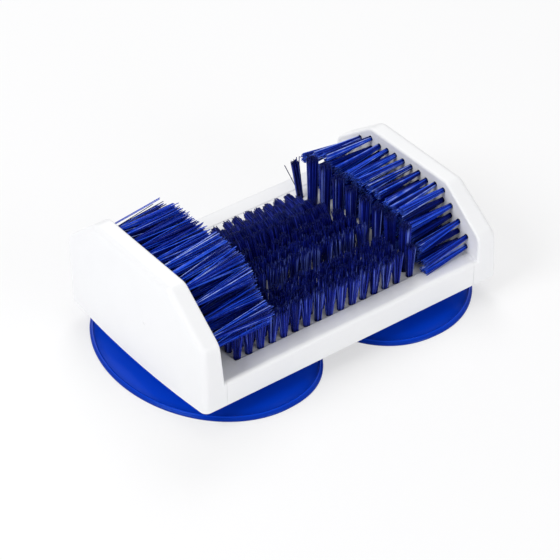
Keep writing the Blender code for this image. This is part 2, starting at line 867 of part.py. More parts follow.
def make_screw(name, place, seat, length, upwards, material, base):
    """A slotted screw whose head bears at height seat, its shank pointing up or down."""
    way = 1 if upwards else -1
    taper = shank_radius / 2
    profile = (
        (taper, length),
        (shank_radius, length - shank_radius),
        (shank_radius, 0.0),
        (head_radius, 0.0),
        (head_radius, -head_height / 2),
        (head_radius * head_crown_share, -head_height),
    )
    shape = bmesh.new()
    turned_rings(shape, [(radius, way * height) for radius, height in profile], screw_steps)
    screw = add_object(name, shape, material, base)
    slot = bmesh.new()
    low, high = sorted((-way * (head_height - slot_depth), -way * (head_height + cut_overrun)))
    reach = head_radius + cut_overrun
    add_box(slot, (-reach, -slot_width / 2, low), (reach, slot_width / 2, high))
    cutter = combine(screw, f"{name}_slot", slot, "DIFFERENCE")
    screw.location = (*place, seat)
    cutter.location = screw.location
    return screw


def make_lug_screws(end, material, base):
    seat = lug_height - fit_gap
    for number, y in enumerate(lug_places(), 1):
        name, place = f"{end.name}_lug_screw_{number}", (end.side * lug_hole_x, y)
        make_screw(name, place, seat, lug_screw_length, True, material, base)


def make_board_screws(material, base):
    seat = plate_underside - fit_gap
    for number, place in enumerate(board_screw_places(), 1):
        make_screw(f"board_screw_{number}", place, seat, board_screw_length, True, material, base)


def make_all_floor_tufts(material, base):
    """The three groups of floor tufts: upright, slightly leaning, and lying back."""
    upright = ((tuft_root_half, tuft_root_half), (tuft_tip_half, tuft_tip_half))
    flattened = ((tuft_root_half, back_tuft_half), (back_tuft_spread, back_tuft_half))
    groups = (
        ("front_floor_tufts", front_rows, (0.0,) * len(front_rows), 0.0, upright),
        ("middle_floor_tufts", middle_rows, middle_lean_degrees, 0.0, upright),
        ("back_floor_tufts", back_rows, back_lean_degrees, back_row_shortening, flattened),
    )
    for (name, rows, leans, shortening, halves), strip in zip(groups, strip_limits()):
        make_floor_tufts(name, rows, leans, shortening, halves, strip, material, base)


def main():
    clear_scene()
    white = make_material("white_plastic", (0.88, 0.89, 0.90), 0.35)
    bristle = make_material("blue_bristle", (0.035, 0.060, 0.42), 0.45)
    soft_blue = make_material("blue_soft_plastic", (0.015, 0.075, 0.40), 0.18)
    steel = make_material("zinc_steel", (0.62, 0.63, 0.65), 0.35, 1.0)

    body = bpy.data.objects.new("body_frame", None)
    body.location = (0.0, 0.0, underside_height)
    bpy.context.scene.collection.objects.link(body)

    make_tray(white, body)
    make_board(white, body)
    for end in (left_end, right_end):
        make_casing(end, white, body)
        make_side_plate(end, white, body)
        make_side_tufts(end, bristle, body)
        make_lug_screws(end, steel, body)
    make_board_screws(steel, body)
    make_all_floor_tufts(bristle, body)
    make_tall_tufts(bristle, body)

    for name, side in (("left", -1), ("right", 1)):
        make_cup(f"{name}_suction_cup", side, soft_blue, None)
        make_washer(f"{name}_cup_washer", side, steel, None)
        seat = underside_height + ledge_thickness + 3 * fit_gap + washer_thickness
        make_screw(f"{name}_cup_screw", (side * cup_x, 0.0), seat, cup_screw_length, False, steel, None)


if __name__ == "__main__":
    main()
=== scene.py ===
"""Looks of the foot brush: fine shells, suction cups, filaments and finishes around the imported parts.

Every place and size is in metres. The origin is on the ground under the middle of the brush, +X runs
towards the lower end block, -Y is the front and +Z is up. Heights named over the underside are
measured from the bottom of the white tray.
"""

from __future__ import annotations

import logging
import math
from dataclasses import dataclass, field
from enum import Enum
from typing import Any, Sequence

import bmesh
import bpy
import numpy as np
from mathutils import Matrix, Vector

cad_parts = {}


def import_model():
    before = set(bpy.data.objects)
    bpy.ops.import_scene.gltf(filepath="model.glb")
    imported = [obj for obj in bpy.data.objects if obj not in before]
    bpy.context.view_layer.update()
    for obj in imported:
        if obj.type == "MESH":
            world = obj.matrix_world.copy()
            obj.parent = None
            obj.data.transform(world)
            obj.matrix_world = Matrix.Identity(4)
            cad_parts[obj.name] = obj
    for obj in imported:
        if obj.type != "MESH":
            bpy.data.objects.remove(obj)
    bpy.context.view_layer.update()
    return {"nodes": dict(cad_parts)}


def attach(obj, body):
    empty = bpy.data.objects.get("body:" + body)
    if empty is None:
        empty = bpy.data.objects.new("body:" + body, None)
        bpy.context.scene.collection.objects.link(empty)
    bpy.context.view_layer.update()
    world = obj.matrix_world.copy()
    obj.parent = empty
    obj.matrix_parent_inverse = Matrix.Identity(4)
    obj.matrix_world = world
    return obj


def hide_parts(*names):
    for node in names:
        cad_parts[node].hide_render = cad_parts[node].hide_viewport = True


logging.basicConfig(level=logging.INFO, format="%(message)s")
log = logging.getLogger("foot_brush")

Colour = tuple[float, float, float]
Point = tuple[float, float, float]
Span = tuple[float, float]
Stops = tuple[tuple[float, Colour], ...]

WHITE_LIGHT = (1.0, 1.0, 1.0, 1.0)
GOLDEN_ANGLE = math.pi * (3 - math.sqrt(5))


class Body(Enum):
    """The rigid bodies that pieces ride on."""

    ROOT = "root"
    LEFT_CUP = "left_cup"
    RIGHT_CUP = "right_cup"


class Slot(Enum):
    """The record's material slots."""

    WHITE = "white_plastic"
    BRISTLE = "blue_bristle"
    SOFT_BLUE = "blue_soft_plastic"
    STEEL = "zinc_steel"


class Step(Enum):
    """How a helper solid changes the solid that it meets."""

    JOIN = "UNION"
    CUT = "DIFFERENCE"


class Wire:
    """A shader output that takes part in Python arithmetic; each operator adds its Math node."""

    def __init__(self, shader: "Shader", socket: bpy.types.NodeSocket | None) -> None:
        """Keeps the socket, None after an output node, and the shader that it belongs to."""
        self.shader = shader
        self.socket = socket

    def _math(self, operation: str, *values: "Wire | float") -> "Wire":
        """Adds a Math node.

        Args:
            operation: The Math node's operation.
            values: Its inputs, in order.

        Returns:
            The node's result.
        """
        inputs = dict(enumerate(values))
        return self.shader.node("ShaderNodeMath", {"operation": operation}, inputs)

    def __add__(self, other: "Wire | float") -> "Wire":
        """self + other."""
        return self._math("ADD", self, other)

    __radd__ = __add__

    def __sub__(self, other: "Wire | float") -> "Wire":
        """self - other."""
        return self._math("SUBTRACT", self, other)

    def __rsub__(self, other: float) -> "Wire":
        """other - self."""
        return self._math("SUBTRACT", other, self)

    def __mul__(self, other: "Wire | float") -> "Wire":
        """self * other."""
        return self._math("MULTIPLY", self, other)

    __rmul__ = __mul__

    def __pow__(self, other: float) -> "Wire":
        """self ** other."""
        return self._math("POWER", self, other)

    def __rpow__(self, other: float) -> "Wire":
        """other ** self."""
        return self._math("POWER", other, self)

    def clamped(self) -> "Wire":
        """The value held between 0 and 1."""
        return self._math("MINIMUM", self._math("MAXIMUM", self, 0.0), 1.0)


class Shader:
    """The node tree of a material or a world, with one method for every kind of node."""

    def __init__(self, owner: bpy.types.Material | bpy.types.World) -> None:
        """Empties the owner's node tree.

        Args:
            owner: The material or world that the nodes are for.
        """
        self.owner = owner
        owner.use_nodes = True
        self.tree = owner.node_tree
        self.tree.nodes.clear()

    @classmethod
    def of_material(cls, name: str) -> "Shader":
        """Starts a new material's shader."""
        return cls(bpy.data.materials.new(name))

    def node(
        self,
        kind: str,
        settings: dict[str, Any] | None = None,
        inputs: dict[str | int, Any] | None = None,
        output: str | int = 0,
    ) -> Wire:
        """Adds a node of any kind.

        Args:
            kind: The node's type, such as ShaderNodeMath.
            settings: Its own properties, set first. The key stops gives a ramp's (place, colour) pairs.
            inputs: Values or wires for its sockets, by name or number.
            output: The socket that the caller goes on with.

        Returns:
            A wire from that output.
        """
        made = self.tree.nodes.new(kind)
        for key, value in (settings or {}).items():
            if key == "stops":
                self._set_stops(made.color_ramp, value)
            else:
                setattr(made, key, value)
        for key, value in (inputs or {}).items():
            if isinstance(value, Wire):
                self.tree.links.new(value.socket, made.inputs[key])
            else:
                made.inputs[key].default_value = value
        return Wire(self, made.outputs[output] if made.outputs else None)

    @staticmethod
    def _set_stops(ramp: bpy.types.ColorRamp, stops: Stops) -> None:
        """Gives a colour ramp its stops.

        Args:
            ramp: The ramp.
            stops: Pairs of place and colour, from low to high.
        """
        while len(ramp.elements) < len(stops):
            ramp.elements.new(1.0)
        for element, (place, colour) in zip(ramp.elements, stops):
            element.position = place
            element.color = (*colour, 1.0)

    def coordinates(self) -> Wire:
        """The piece's own coordinates, in metres."""
        return self.node("ShaderNodeTexCoord", output="Object")

    def height(self) -> Wire:
        """The height over the piece's own origin, in metres."""
        return self.node("ShaderNodeSeparateXYZ", None, {0: self.coordinates()}, "Z")

    def noise(self, scale: float, octaves: float) -> Wire:
        """Soft noise over the surface.

        Args:
            scale: Features per metre.
            octaves: How many finer layers are added.

        Returns:
            A value from about 0 to 1.
        """
        inputs = {"Vector": self.coordinates(), "Scale": scale, "Detail": octaves}
        return self.node("ShaderNodeTexNoise", None, inputs)

    def attribute(self, name: str) -> Wire:
        """A number stored on the mesh's points."""
        return self.node("ShaderNodeAttribute", {"attribute_name": name}, output="Fac")

    def ramp(self, value: Wire, stops: Stops) -> Wire:
        """Colours a value.

        Args:
            value: A value from 0 to 1.
            stops: Pairs of place and colour, from low to high.

        Returns:
            The colour.
        """
        return self.node("ShaderNodeValToRGB", {"stops": stops}, {"Fac": value})

    def blend(self, share: Wire, first: Colour | Wire, second: Colour | Wire) -> Wire:
        """Mixes two colours.

        Args:
            share: 0 for the first colour, 1 for the second.
            first: A colour or a wire with one.
            second: A colour or a wire with one.

        Returns:
            The mixed colour.
        """
        ends = [c if isinstance(c, Wire) else (*c, 1.0) for c in (first, second)]
        settings = {"data_type": "RGBA", "clamp_factor": True}
        return self.node("ShaderNodeMix", settings, {0: share, 6: ends[0], 7: ends[1]}, output=2)

    def bump(self, height: Wire, distance: float) -> Wire:
        """A normal that follows a height.

        Args:
            height: The height, from 0 to 1.
            distance: What a height of 1 stands for, in metres.

        Returns:
            The bumped normal.
        """
        return self.node("ShaderNodeBump", None, {"Strength": 1.0, "Distance": distance, "Height": height})

    def surface(self, **sockets: Any) -> bpy.types.Material:
        """Ends the tree with a Principled BSDF.

        Args:
            sockets: Values or wires, with the sockets' names written with _ for a space.

        Returns:
            The finished material.
        """
        inputs = {}
        for name, value in sockets.items():
            is_colour = isinstance(value, tuple) and len(value) == 3
            inputs[name.replace("_", " ")] = (*value, 1.0) if is_colour else value
        return self.finish(self.node("ShaderNodeBsdfPrincipled", None, inputs))

    def finish(self, surface: Wire) -> bpy.types.Material | bpy.types.World:
        """Links a surface to the output.

        Args:
            surface: The shader or background to show.

        Returns:
            The finished material or world.
        """
        kind = "World" if isinstance(self.owner, bpy.types.World) else "Material"
        self.node(f"ShaderNodeOutput{kind}", None, {"Surface": surface})
        return self.owner


@dataclass(frozen=True)
class WhitePlastic:
    """Satin white moulded plastic, faintly cloudy, with the fine grain of the mould."""

    name: str = "satin_white_plastic"
    colour: Colour = (0.87, 0.875, 0.885)
    cloudy_colour: Colour = (0.84, 0.845, 0.86)
    cloud_scale: float = 38.0
    cloud_octaves: float = 3.0
    grain_scale: float = 2600.0
    grain_octaves: float = 2.0
    grain_depth: float = 0.000012
    roughness: float = 0.36
    roughness_spread: float = 0.10

    def material(self) -> bpy.types.Material:
        """Builds the material.

        Returns:
            The material.
        """
        shader = Shader.of_material(self.name)
        clouds = shader.noise(self.cloud_scale, self.cloud_octaves)
        grain = shader.noise(self.grain_scale, self.grain_octaves)
        return shader.surface(
            Base_Color=shader.blend(clouds, self.colour, self.cloudy_colour),
            Roughness=clouds * self.roughness_spread + (self.roughness - self.roughness_spread / 2),
            Normal=shader.bump(grain, self.grain_depth),
        )


@dataclass(frozen=True)
class FilamentNylon:
    """Blue nylon filament: each one lighter or darker along its length, with painted shade near its root and
    a painted tip: painted shade on dark cut tips, a painted highlight on pale ones.
    """

    name: str
    tones_and_shade: Stops
    painted_tip_colour: Colour
    tip_strength: float = 0.8
    tip_share: float = 0.05
    # Painted shade where the filaments go into their holes
    root_shade_colour: Colour = (0.001, 0.002, 0.025)
    root_share: float = 0.14
    streak_scale: float = 150.0
    streak_octaves: float = 2.0
    streak_spread: float = 0.5
    roughness: float = 0.28
    roughness_spread: float = 0.12
    specular: float = 0.22
    sheen: Colour = (0.30, 0.50, 1.0)
    refraction: float = 1.53

    def material(self) -> bpy.types.Material:
        """Builds the material.

        Returns:
            The material.
        """
        shader = Shader.of_material(self.name)
        along = shader.attribute("along")
        streaks = (shader.noise(self.streak_scale, self.streak_octaves) - 1 / 2) * self.streak_spread
        # Each filament's random tone with its painted shade and light, varied along its length by the
        # streaks; the ramp turns it into colour, its top stop a painted highlight
        tone = (shader.attribute("tone") * (streaks + 1.0)).clamped()
        # Painted shade darkens each filament towards its root
        near_root = (1.0 - along * (1 / self.root_share)).clamped()
        near_tip = ((along - (1.0 - self.tip_share)) * (1 / self.tip_share)).clamped()
        rooted = shader.blend(near_root, shader.ramp(tone, self.tones_and_shade), self.root_shade_colour)
        # The painted tip colour over the last share of each filament: painted shade on dark tips, a painted
        # highlight on pale ones
        return shader.surface(
            Base_Color=shader.blend(near_tip * self.tip_strength, rooted, self.painted_tip_colour),
            Roughness=tone * self.roughness_spread + (self.roughness - self.roughness_spread / 2),
            Specular_IOR_Level=self.specular,
            Specular_Tint=(*self.sheen, 1.0),
            IOR=self.refraction,
        )


@dataclass(frozen=True)
class SoftBluePlastic:
    """Glossy royal blue soft plastic, faintly wavy, with painted shade darkening its rim towards the ground.
    """

    name: str = "glossy_blue_soft_plastic"
    colour: Colour = (0.0010, 0.052, 0.62)
    deep_colour: Colour = (0.0008, 0.042, 0.55)
    sheen: Colour = (0.20, 0.45, 1.0)
    specular: float = 0.36
    ground_shade_colour: Colour = (0.0006, 0.020, 0.28)
    ground_shade_height: float = 0.0024
    ground_shade_power: float = 2.0
    wave_scale: float = 26.0
    wave_octaves: float = 1.5
    wave_depth: float = 0.00035
    smear_scale: float = 130.0
    smear_octaves: float = 3.0
    roughness: float = 0.17
    roughness_spread: float = 0.10
    refraction: float = 1.5

    def material(self) -> bpy.types.Material:
        """Builds the material.

        Returns:
            The material.
        """
        shader = Shader.of_material(self.name)
        waves = shader.noise(self.wave_scale, self.wave_octaves)
        smears = shader.noise(self.smear_scale, self.smear_octaves)
        # Painted shade: darker towards the ground, over the rim's lower edge
        over_ground = (shader.height() * (1 / self.ground_shade_height)).clamped()
        dome = shader.blend(waves, self.colour, self.deep_colour)
        return shader.surface(
            Base_Color=shader.blend(over_ground**self.ground_shade_power, self.ground_shade_colour, dome),
            Roughness=smears * self.roughness_spread + (self.roughness - self.roughness_spread / 2),
            Normal=shader.bump(waves, self.wave_depth),
            Specular_IOR_Level=self.specular,
            Specular_Tint=(*self.sheen, 1.0),
            IOR=self.refraction,
        )


@dataclass(frozen=True)
class ZincSteel:
    """Zinc-plated steel with soft mottling."""

    name: str = "zinc_plated_steel"
    colour: Colour = (0.60, 0.61, 0.63)
    dull_colour: Colour = (0.48, 0.49, 0.50)
    mottle_scale: float = 700.0
    mottle_octaves: float = 3.0
    roughness: float = 0.32
    roughness_spread: float = 0.16

    def material(self) -> bpy.types.Material:
        """Builds the material.

        Returns:
            The material.
        """
        shader = Shader.of_material(self.name)
        mottle = shader.noise(self.mottle_scale, self.mottle_octaves)
        return shader.surface(
            Base_Color=shader.blend(mottle, self.colour, self.dull_colour),
            Roughness=mottle * self.roughness_spread + (self.roughness - self.roughness_spread / 2),
            Metallic=1.0,
        )


# How light a filament is: its random tone times painted shade inside its tuft and its tuft's painted light,
# from the shaded ones inside a tuft to the palest outside, whose top stop is a painted highlight
SIDE_TONES_AND_SHADE: Stops = (
    (0.0, (0.0004, 0.0015, 0.070)),
    (0.3, (0.0010, 0.009, 0.24)),
    (0.62, (0.005, 0.045, 0.58)),
    (0.85, (0.028, 0.115, 0.84)),
    (1.0, (0.46, 0.58, 1.0)),
)
FLOOR_TONES_AND_SHADE: Stops = (
    (0.0, (0.0024, 0.0040, 0.070)),
    (0.45, (0.0062, 0.0125, 0.235)),
    (0.8, (0.018, 0.038, 0.46)),
    (1.0, (0.13, 0.19, 0.66)),
)
# Darker colours for the back floor rows: painted shade where these rows lie in shadow
SHADED_BACK_TONES: Stops = (
    (0.0, (0.0022, 0.0036, 0.075)),
    (0.6, (0.0055, 0.0100, 0.22)),
    (1.0, (0.030, 0.046, 0.42)),
)
# Painted tip colours: painted shade on the floor filaments' dark cut tips, a painted highlight on the side
# filaments' pale tips
SHADED_TIP_COLOUR = (0.0030, 0.0038, 0.048)
HIGHLIGHT_TIP_COLOUR = (0.08, 0.16, 0.66)


@dataclass(frozen=True)
class Finishes:
    """Every finish of the brush, made once."""

    white: bpy.types.Material
    floor_nylon: bpy.types.Material
    back_nylon: bpy.types.Material
    side_nylon: bpy.types.Material
    soft_blue: bpy.types.Material
    steel: bpy.types.Material

    @classmethod
    def make(cls) -> "Finishes":
        """Builds all the materials.

        Returns:
            The set of finishes.
        """
        floor = FilamentNylon("floor_filament_nylon", FLOOR_TONES_AND_SHADE, SHADED_TIP_COLOUR, tip_share=0.10)
        # The back rows get a darker copy of the floor nylon: painted shade
        back = FilamentNylon("shaded_back_filament_nylon", SHADED_BACK_TONES, SHADED_TIP_COLOUR, tip_share=0.10)
        side = FilamentNylon("side_filament_nylon", SIDE_TONES_AND_SHADE, HIGHLIGHT_TIP_COLOUR, tip_strength=0.4, root_share=0.07)
        return cls(
            white=WhitePlastic().material(),
            floor_nylon=floor.material(),
            back_nylon=back.material(),
            side_nylon=side.material(),
            soft_blue=SoftBluePlastic().material(),
            steel=ZincSteel().material(),
        )


def circle(radius: float, steps: int) -> list[tuple[float, float]]:
    """Points round a circle about the origin."""
    turns = [math.tau * i / steps for i in range(steps)]
    return [(radius * math.cos(turn), radius * math.sin(turn)) for turn in turns]


class Sheet:
    """A bmesh with the few moves that the pieces are built from."""

    def __init__(self) -> None:
        """Starts with nothing."""
        self.mesh = bmesh.new()

    def ring(self, points: Sequence[Sequence[float]]) -> list[bmesh.types.BMVert]:
        """Adds points in a ring, without faces."""
        return [self.mesh.verts.new(point) for point in points]

    def bridge(self, lower: Sequence[bmesh.types.BMVert], upper: Sequence[bmesh.types.BMVert]) -> None:
        """Joins two rings of as many points with four-sided faces.

        Args:
            lower: One ring.
            upper: The other ring.
        """
        count = len(lower)
        for i in range(count):
            j = (i + 1) % count
            self.mesh.faces.new((lower[i], lower[j], upper[j], upper[i]))

    def loft(self, rings: Sequence[Sequence[Sequence[float]]]) -> None:
        """Lofts a closed skin through rings of as many points each.

        Args:
            rings: The rings' points, in order; the first and the last are closed with a face.
        """
        made = [self.ring(points) for points in rings]
        for lower, upper in zip(made, made[1:]):
            self.bridge(lower, upper)
        self.mesh.faces.new(made[0])
        self.mesh.faces.new(made[-1])

    def box(self, low: Point, high: Point) -> None:
        """Adds a closed box between two corners."""
        outline = ((low[0], low[1]), (high[0], low[1]), (high[0], high[1]), (low[0], high[1]))
        self.loft([[(x, y, z) for x, y in outline] for z in (low[2], high[2])])

    def turned(self, profile: Sequence[tuple[float, float]], centre: tuple[float, float], steps: int) -> None:
        """Adds a closed turned solid.

        Args:
            profile: Pairs of radius and height, from one end to the other.
            centre: The axis, (x, y).
            steps: Points round.
        """
        unit = circle(1.0, steps)
        self.loft([[(centre[0] + r * x, centre[1] + r * y, z) for x, y in unit] for r, z in profile])


@dataclass
class Solid:
    """A piece in the making: an object whose mesh is joined to and cut by helper solids."""

    name: str
    sharp_degrees: float = 28.0
    made: bpy.types.Object | None = None

    def start(self, sheet: Sheet) -> "Solid":
        """Makes the object from a first closed mesh."""
        self.made = self._object(self.name, sheet)
        return self

    @staticmethod
    def _object(name: str, sheet: Sheet) -> bpy.types.Object:
        """Turns a sheet into an object in the scene, its faces pointing out.

        Args:
            name: The object's name.
            sheet: The closed mesh, which is used up.

        Returns:
            The object.
        """
        bmesh.ops.recalc_face_normals(sheet.mesh, faces=sheet.mesh.faces[:])
        mesh = bpy.data.meshes.new(name)
        sheet.mesh.to_mesh(mesh)
        sheet.mesh.free()
        thing = bpy.data.objects.new(name, mesh)
        bpy.context.scene.collection.objects.link(thing)
        return thing

    def combine(self, step: Step, sheet: Sheet) -> "Solid":
        """Joins or cuts a helper solid, and applies the result.

        Args:
            step: Whether the helper is joined or cut.
            sheet: The helper's closed mesh.

        Returns:
            This solid.
        """
        helper = self._object(f"{self.name}_helper", sheet)
        modifier = self.made.modifiers.new("step", "BOOLEAN")
        modifier.operation = step.value
        modifier.object = helper
        modifier.solver = "EXACT"
        bpy.context.view_layer.update()
        evaluated = self.made.evaluated_get(bpy.context.evaluated_depsgraph_get())
        shaped = bpy.data.meshes.new_from_object(evaluated)
        self.made.modifiers.clear()
        old, self.made.data = self.made.data, shaped
        bpy.data.meshes.remove(old)
        bpy.data.objects.remove(helper, do_unlink=True)
        return self

    def dress(self, material: bpy.types.Material, slot: Slot, body: Body, *nodes: str) -> bpy.types.Object:
        """Shades the piece, gives it its finish and puts it on its body.

        Args:
            material: Its finish.
            slot: The record's slot for that finish.
            body: The body that it rides on.
            nodes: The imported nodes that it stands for.

        Returns:
            The finished object.
        """
        mesh = self.made.data
        mesh.name = self.name
        mesh.materials.clear()
        mesh.materials.append(material)
        mesh.shade_smooth()
        mesh.set_sharp_from_angle(angle=math.radians(self.sharp_degrees))
        weighted = self.made.modifiers.new("even_normals", "WEIGHTED_NORMAL")
        weighted.keep_sharp = True
        return place(self.made, slot, body, *nodes)


def place(piece: bpy.types.Object, slot: Slot, body: Body, *nodes: str) -> bpy.types.Object:
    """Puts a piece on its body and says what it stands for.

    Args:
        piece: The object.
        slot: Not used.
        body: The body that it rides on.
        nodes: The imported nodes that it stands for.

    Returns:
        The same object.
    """
    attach(piece, body.value)
    if nodes:
        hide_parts(*nodes)
    faces, named = len(piece.data.polygons), ", ".join(nodes) or "no node"
    log.info("%s: %d faces, rides on %s, stands for %s", piece.name, faces, body.value, named)
    return piece


@dataclass
class BodySizes:
    """Sizes that the tray, the end blocks and the board share, in metres."""

    length: float = 0.200
    depth: float = 0.1282
    underside: float = 0.013
    rail_height: float = 0.0156
    wall: float = 0.0024
    fit_gap: float = 0.0003
    seam: float = 0.00005
    foot_seam: float = 0.00013
    overrun: float = 0.004
    rail_round: float = 0.0022
    rail_width: float = 0.0118
    floor_recess: float = 0.0007
    board_length: float = 0.1432
    block_thickness: float = 0.01175
    foot_step: float = 0.0024
    deck: float = 0.0016
    plate_thickness: float = 0.0060
    backing: float = 0.0016

    def __post_init__(self) -> None:
        """Works out the places that follow from the sizes."""
        self.half_length = self.length / 2
        self.half_depth = self.depth / 2
        self.face_x = self.half_length - self.block_thickness
        self.foot_x = self.face_x - self.foot_step
        self.rail_top = self.underside + self.rail_height
        self.floor_z = self.rail_top - self.floor_recess
        self.board_half_x = self.board_length / 2
        self.board_half_y = self.half_depth - self.rail_width
        self.pocket_floor = self.rail_height + self.deck


@dataclass
class EndBlock:
    """One end block: its outline, its lean, and the fine shell with its rounded and bowed faces."""

    name: str
    side: int
    sizes: BodySizes
    height: float
    shoulder: float
    crest_half: float
    lean_degrees: float
    face_bow: float
    foot_flare: float = 0.0
    foot_draft: float = 0.0
    corner_radius: float = 0.008
    least_corner_share: float = 0.25
    outer_round: float = 0.0037
    inner_round: float = 0.0015
    crown: float = 0.0008
    crown_shares: tuple[float, ...] = (0.95, 0.85, 0.72, 0.58, 0.42, 0.25, 0.1)
    arc_steps: int = 12
    edge_steps: int = 8
    straight_steps: int = 6

    def _fillet(self, before: Vector, corner: Vector, after: Vector, radius: float) -> list[Vector]:
        """Rounds a corner of the outline.

        Args:
            before: The corner before it.
            corner: The corner itself.
            after: The corner after it.
            radius: The arc's radius.

        Returns:
            Points of the arc.
        """
        towards, onwards = (before - corner).normalized(), (after - corner).normalized()
        half = towards.angle(onwards) / 2
        centre = corner + (towards + onwards).normalized() * (radius / math.sin(half))
        start = corner + towards * (radius / math.tan(half)) - centre
        end = corner + onwards * (radius / math.tan(half)) - centre
        turn = start.angle_signed(end)
        arc = []
        for i in range(self.arc_steps + 1):
            cos, sin = math.cos(-turn * i / self.arc_steps), math.sin(-turn * i / self.arc_steps)
            arc.append(centre + Vector((start.x * cos - start.y * sin, start.x * sin + start.y * cos)))
        return arc

    def outline(self, inset: float, bottom: float) -> list[Vector]:
        """The block's outline (y, height over the underside), drawn in.

        Args:
            inset: How far it is drawn in.
            bottom: The height of its flat bottom.

        Returns:
            Its points, over the top from back to front and back along the bottom.
        """
        half_depth = self.sizes.half_depth
        shoulder, crest = Vector((half_depth, self.shoulder)), Vector((self.crest_half, self.height))
        along = (crest - shoulder).normalized()
        normal = Vector((along.y, -along.x))
        reach = normal.dot(shoulder) - inset
        side_y, top_z = half_depth - inset, self.height - inset
        inner_shoulder = Vector((side_y, (reach - normal.x * side_y) / normal.y))
        inner_crest = Vector(((reach - normal.y * top_z) / normal.x, top_z))
        radius = max(self.corner_radius - inset, self.corner_radius * self.least_corner_share)
        foot, rail = Vector((side_y, bottom)), self.sizes.rail_height
        first = self._fillet(foot, inner_shoulder, inner_crest, radius)
        rise_from = rail if bottom < rail else bottom
        half = [foot] if bottom < rail else []
        half += [Vector((side_y, z)) for z in np.linspace(rise_from, first[0].y, self.straight_steps)[:-1]]
        half += first + self._fillet(inner_shoulder, inner_crest, Vector((0.0, top_z)), radius)
        mirrored = [Vector((-point.x, point.y)) for point in reversed(half)]
        shares = np.linspace(1.0, -1.0, 2 * self.straight_steps + 1)[1:-1]
        top = [Vector((share * half[-1].x, top_z)) for share in shares]
        base = [Vector((-share * side_y, bottom)) for share in shares]
        return half + top + mirrored + base

    def lean(self, height: float) -> float:
        """How far the block has leaned outward at a height over the underside."""
        return math.tan(math.radians(self.lean_degrees)) * max(0.0, height - self.sizes.rail_height)

    def ring(
        self,
        outline: Sequence[Vector],
        x: float,
        bow_share: float = 0.0,
        crown: float = 0.0,
        draft_share: float = 0.0,
    ) -> list[Point]:
        """One ring of the block.

        Args:
            outline: Its points (y, height).
            x: Its distance from the middle of the brush.
            bow_share: Share of the outer face's bow.
            crown: Extra distance outward.
            draft_share: Share of the inner face's draft towards the foot.

        Returns:
            The ring's points.
        """
        sizes = self.sizes
        points = []
        for y, z in outline:
            swell = self.foot_flare + self.face_bow * (1 - (y / sizes.half_depth) ** 2)
            bow = bow_share * swell * (1 - z / self.height)
            climb = (z - sizes.rail_height) / (self.shoulder - sizes.rail_height)
            draft = draft_share * self.foot_draft * min(1.0, max(0.0, 1 - climb))
            points.append((self.side * (x + self.lean(z) + bow + crown - draft), y, z + sizes.underside))
        return points

    def shell(self) -> Sheet:
        """The outer shape: rounded edges and a bowed, crowned outer face.

        Returns:
            The closed shape.
        """
        sizes = self.sizes
        rings = []
        turns = [math.pi / 2 * i / self.edge_steps for i in range(self.edge_steps + 1)]
        for a in turns:
            inset = self.inner_round * (1 - math.sin(a))
            x = sizes.face_x + self.inner_round * (1 - math.cos(a))
            rings.append(self.ring(self.outline(inset, 0.0), x, draft_share=1.0))
        for a in turns:
            inset = self.outer_round * (1 - math.cos(a))
            x = sizes.half_length - self.outer_round * (1 - math.sin(a))
            rings.append(self.ring(self.outline(inset, 0.0), x, 1.0))
        middle = Vector((0.0, self.height / 2))
        edge = self.outline(self.outer_round, 0.0)
        for share in self.crown_shares:
            drawn = [middle + (point - middle) * share for point in edge]
            rings.append(self.ring(drawn, sizes.half_length, 1.0, self.crown * (1 - share**2)))
        sheet = Sheet()
        sheet.loft(rings)
        return sheet

    def plate(self, inset: float, bottom: float, near: float, far: float) -> Sheet:
        """A flat plate with the block's outline drawn in.

        Args:
            inset: How far it is drawn in.
            bottom: Height of its flat bottom over the underside.
            near: Its inner face's distance from the middle.
            far: Its outer face's distance from the middle.

        Returns:
            The closed plate.
        """
        sheet = Sheet()
        outline = self.outline(inset, bottom)
        sheet.loft([self.ring(outline, near), self.ring(outline, far)])
        return sheet

    def side_box(self, near: float, far: float, y: Span, z: Span) -> tuple[Point, Point]:
        """Corners of a box on the block's side.

        Args:
            near: The distance of its near face from the middle.
            far: The distance of its far face.
            y: Its limits in y.
            z: Its limits in height over the underside.

        Returns:
            The lowest and the highest corner.
        """
        low_x, high_x = sorted((self.side * near, self.side * far))
        base = self.sizes.underside
        return (low_x, y[0], z[0] + base), (high_x, y[1], z[1] + base)


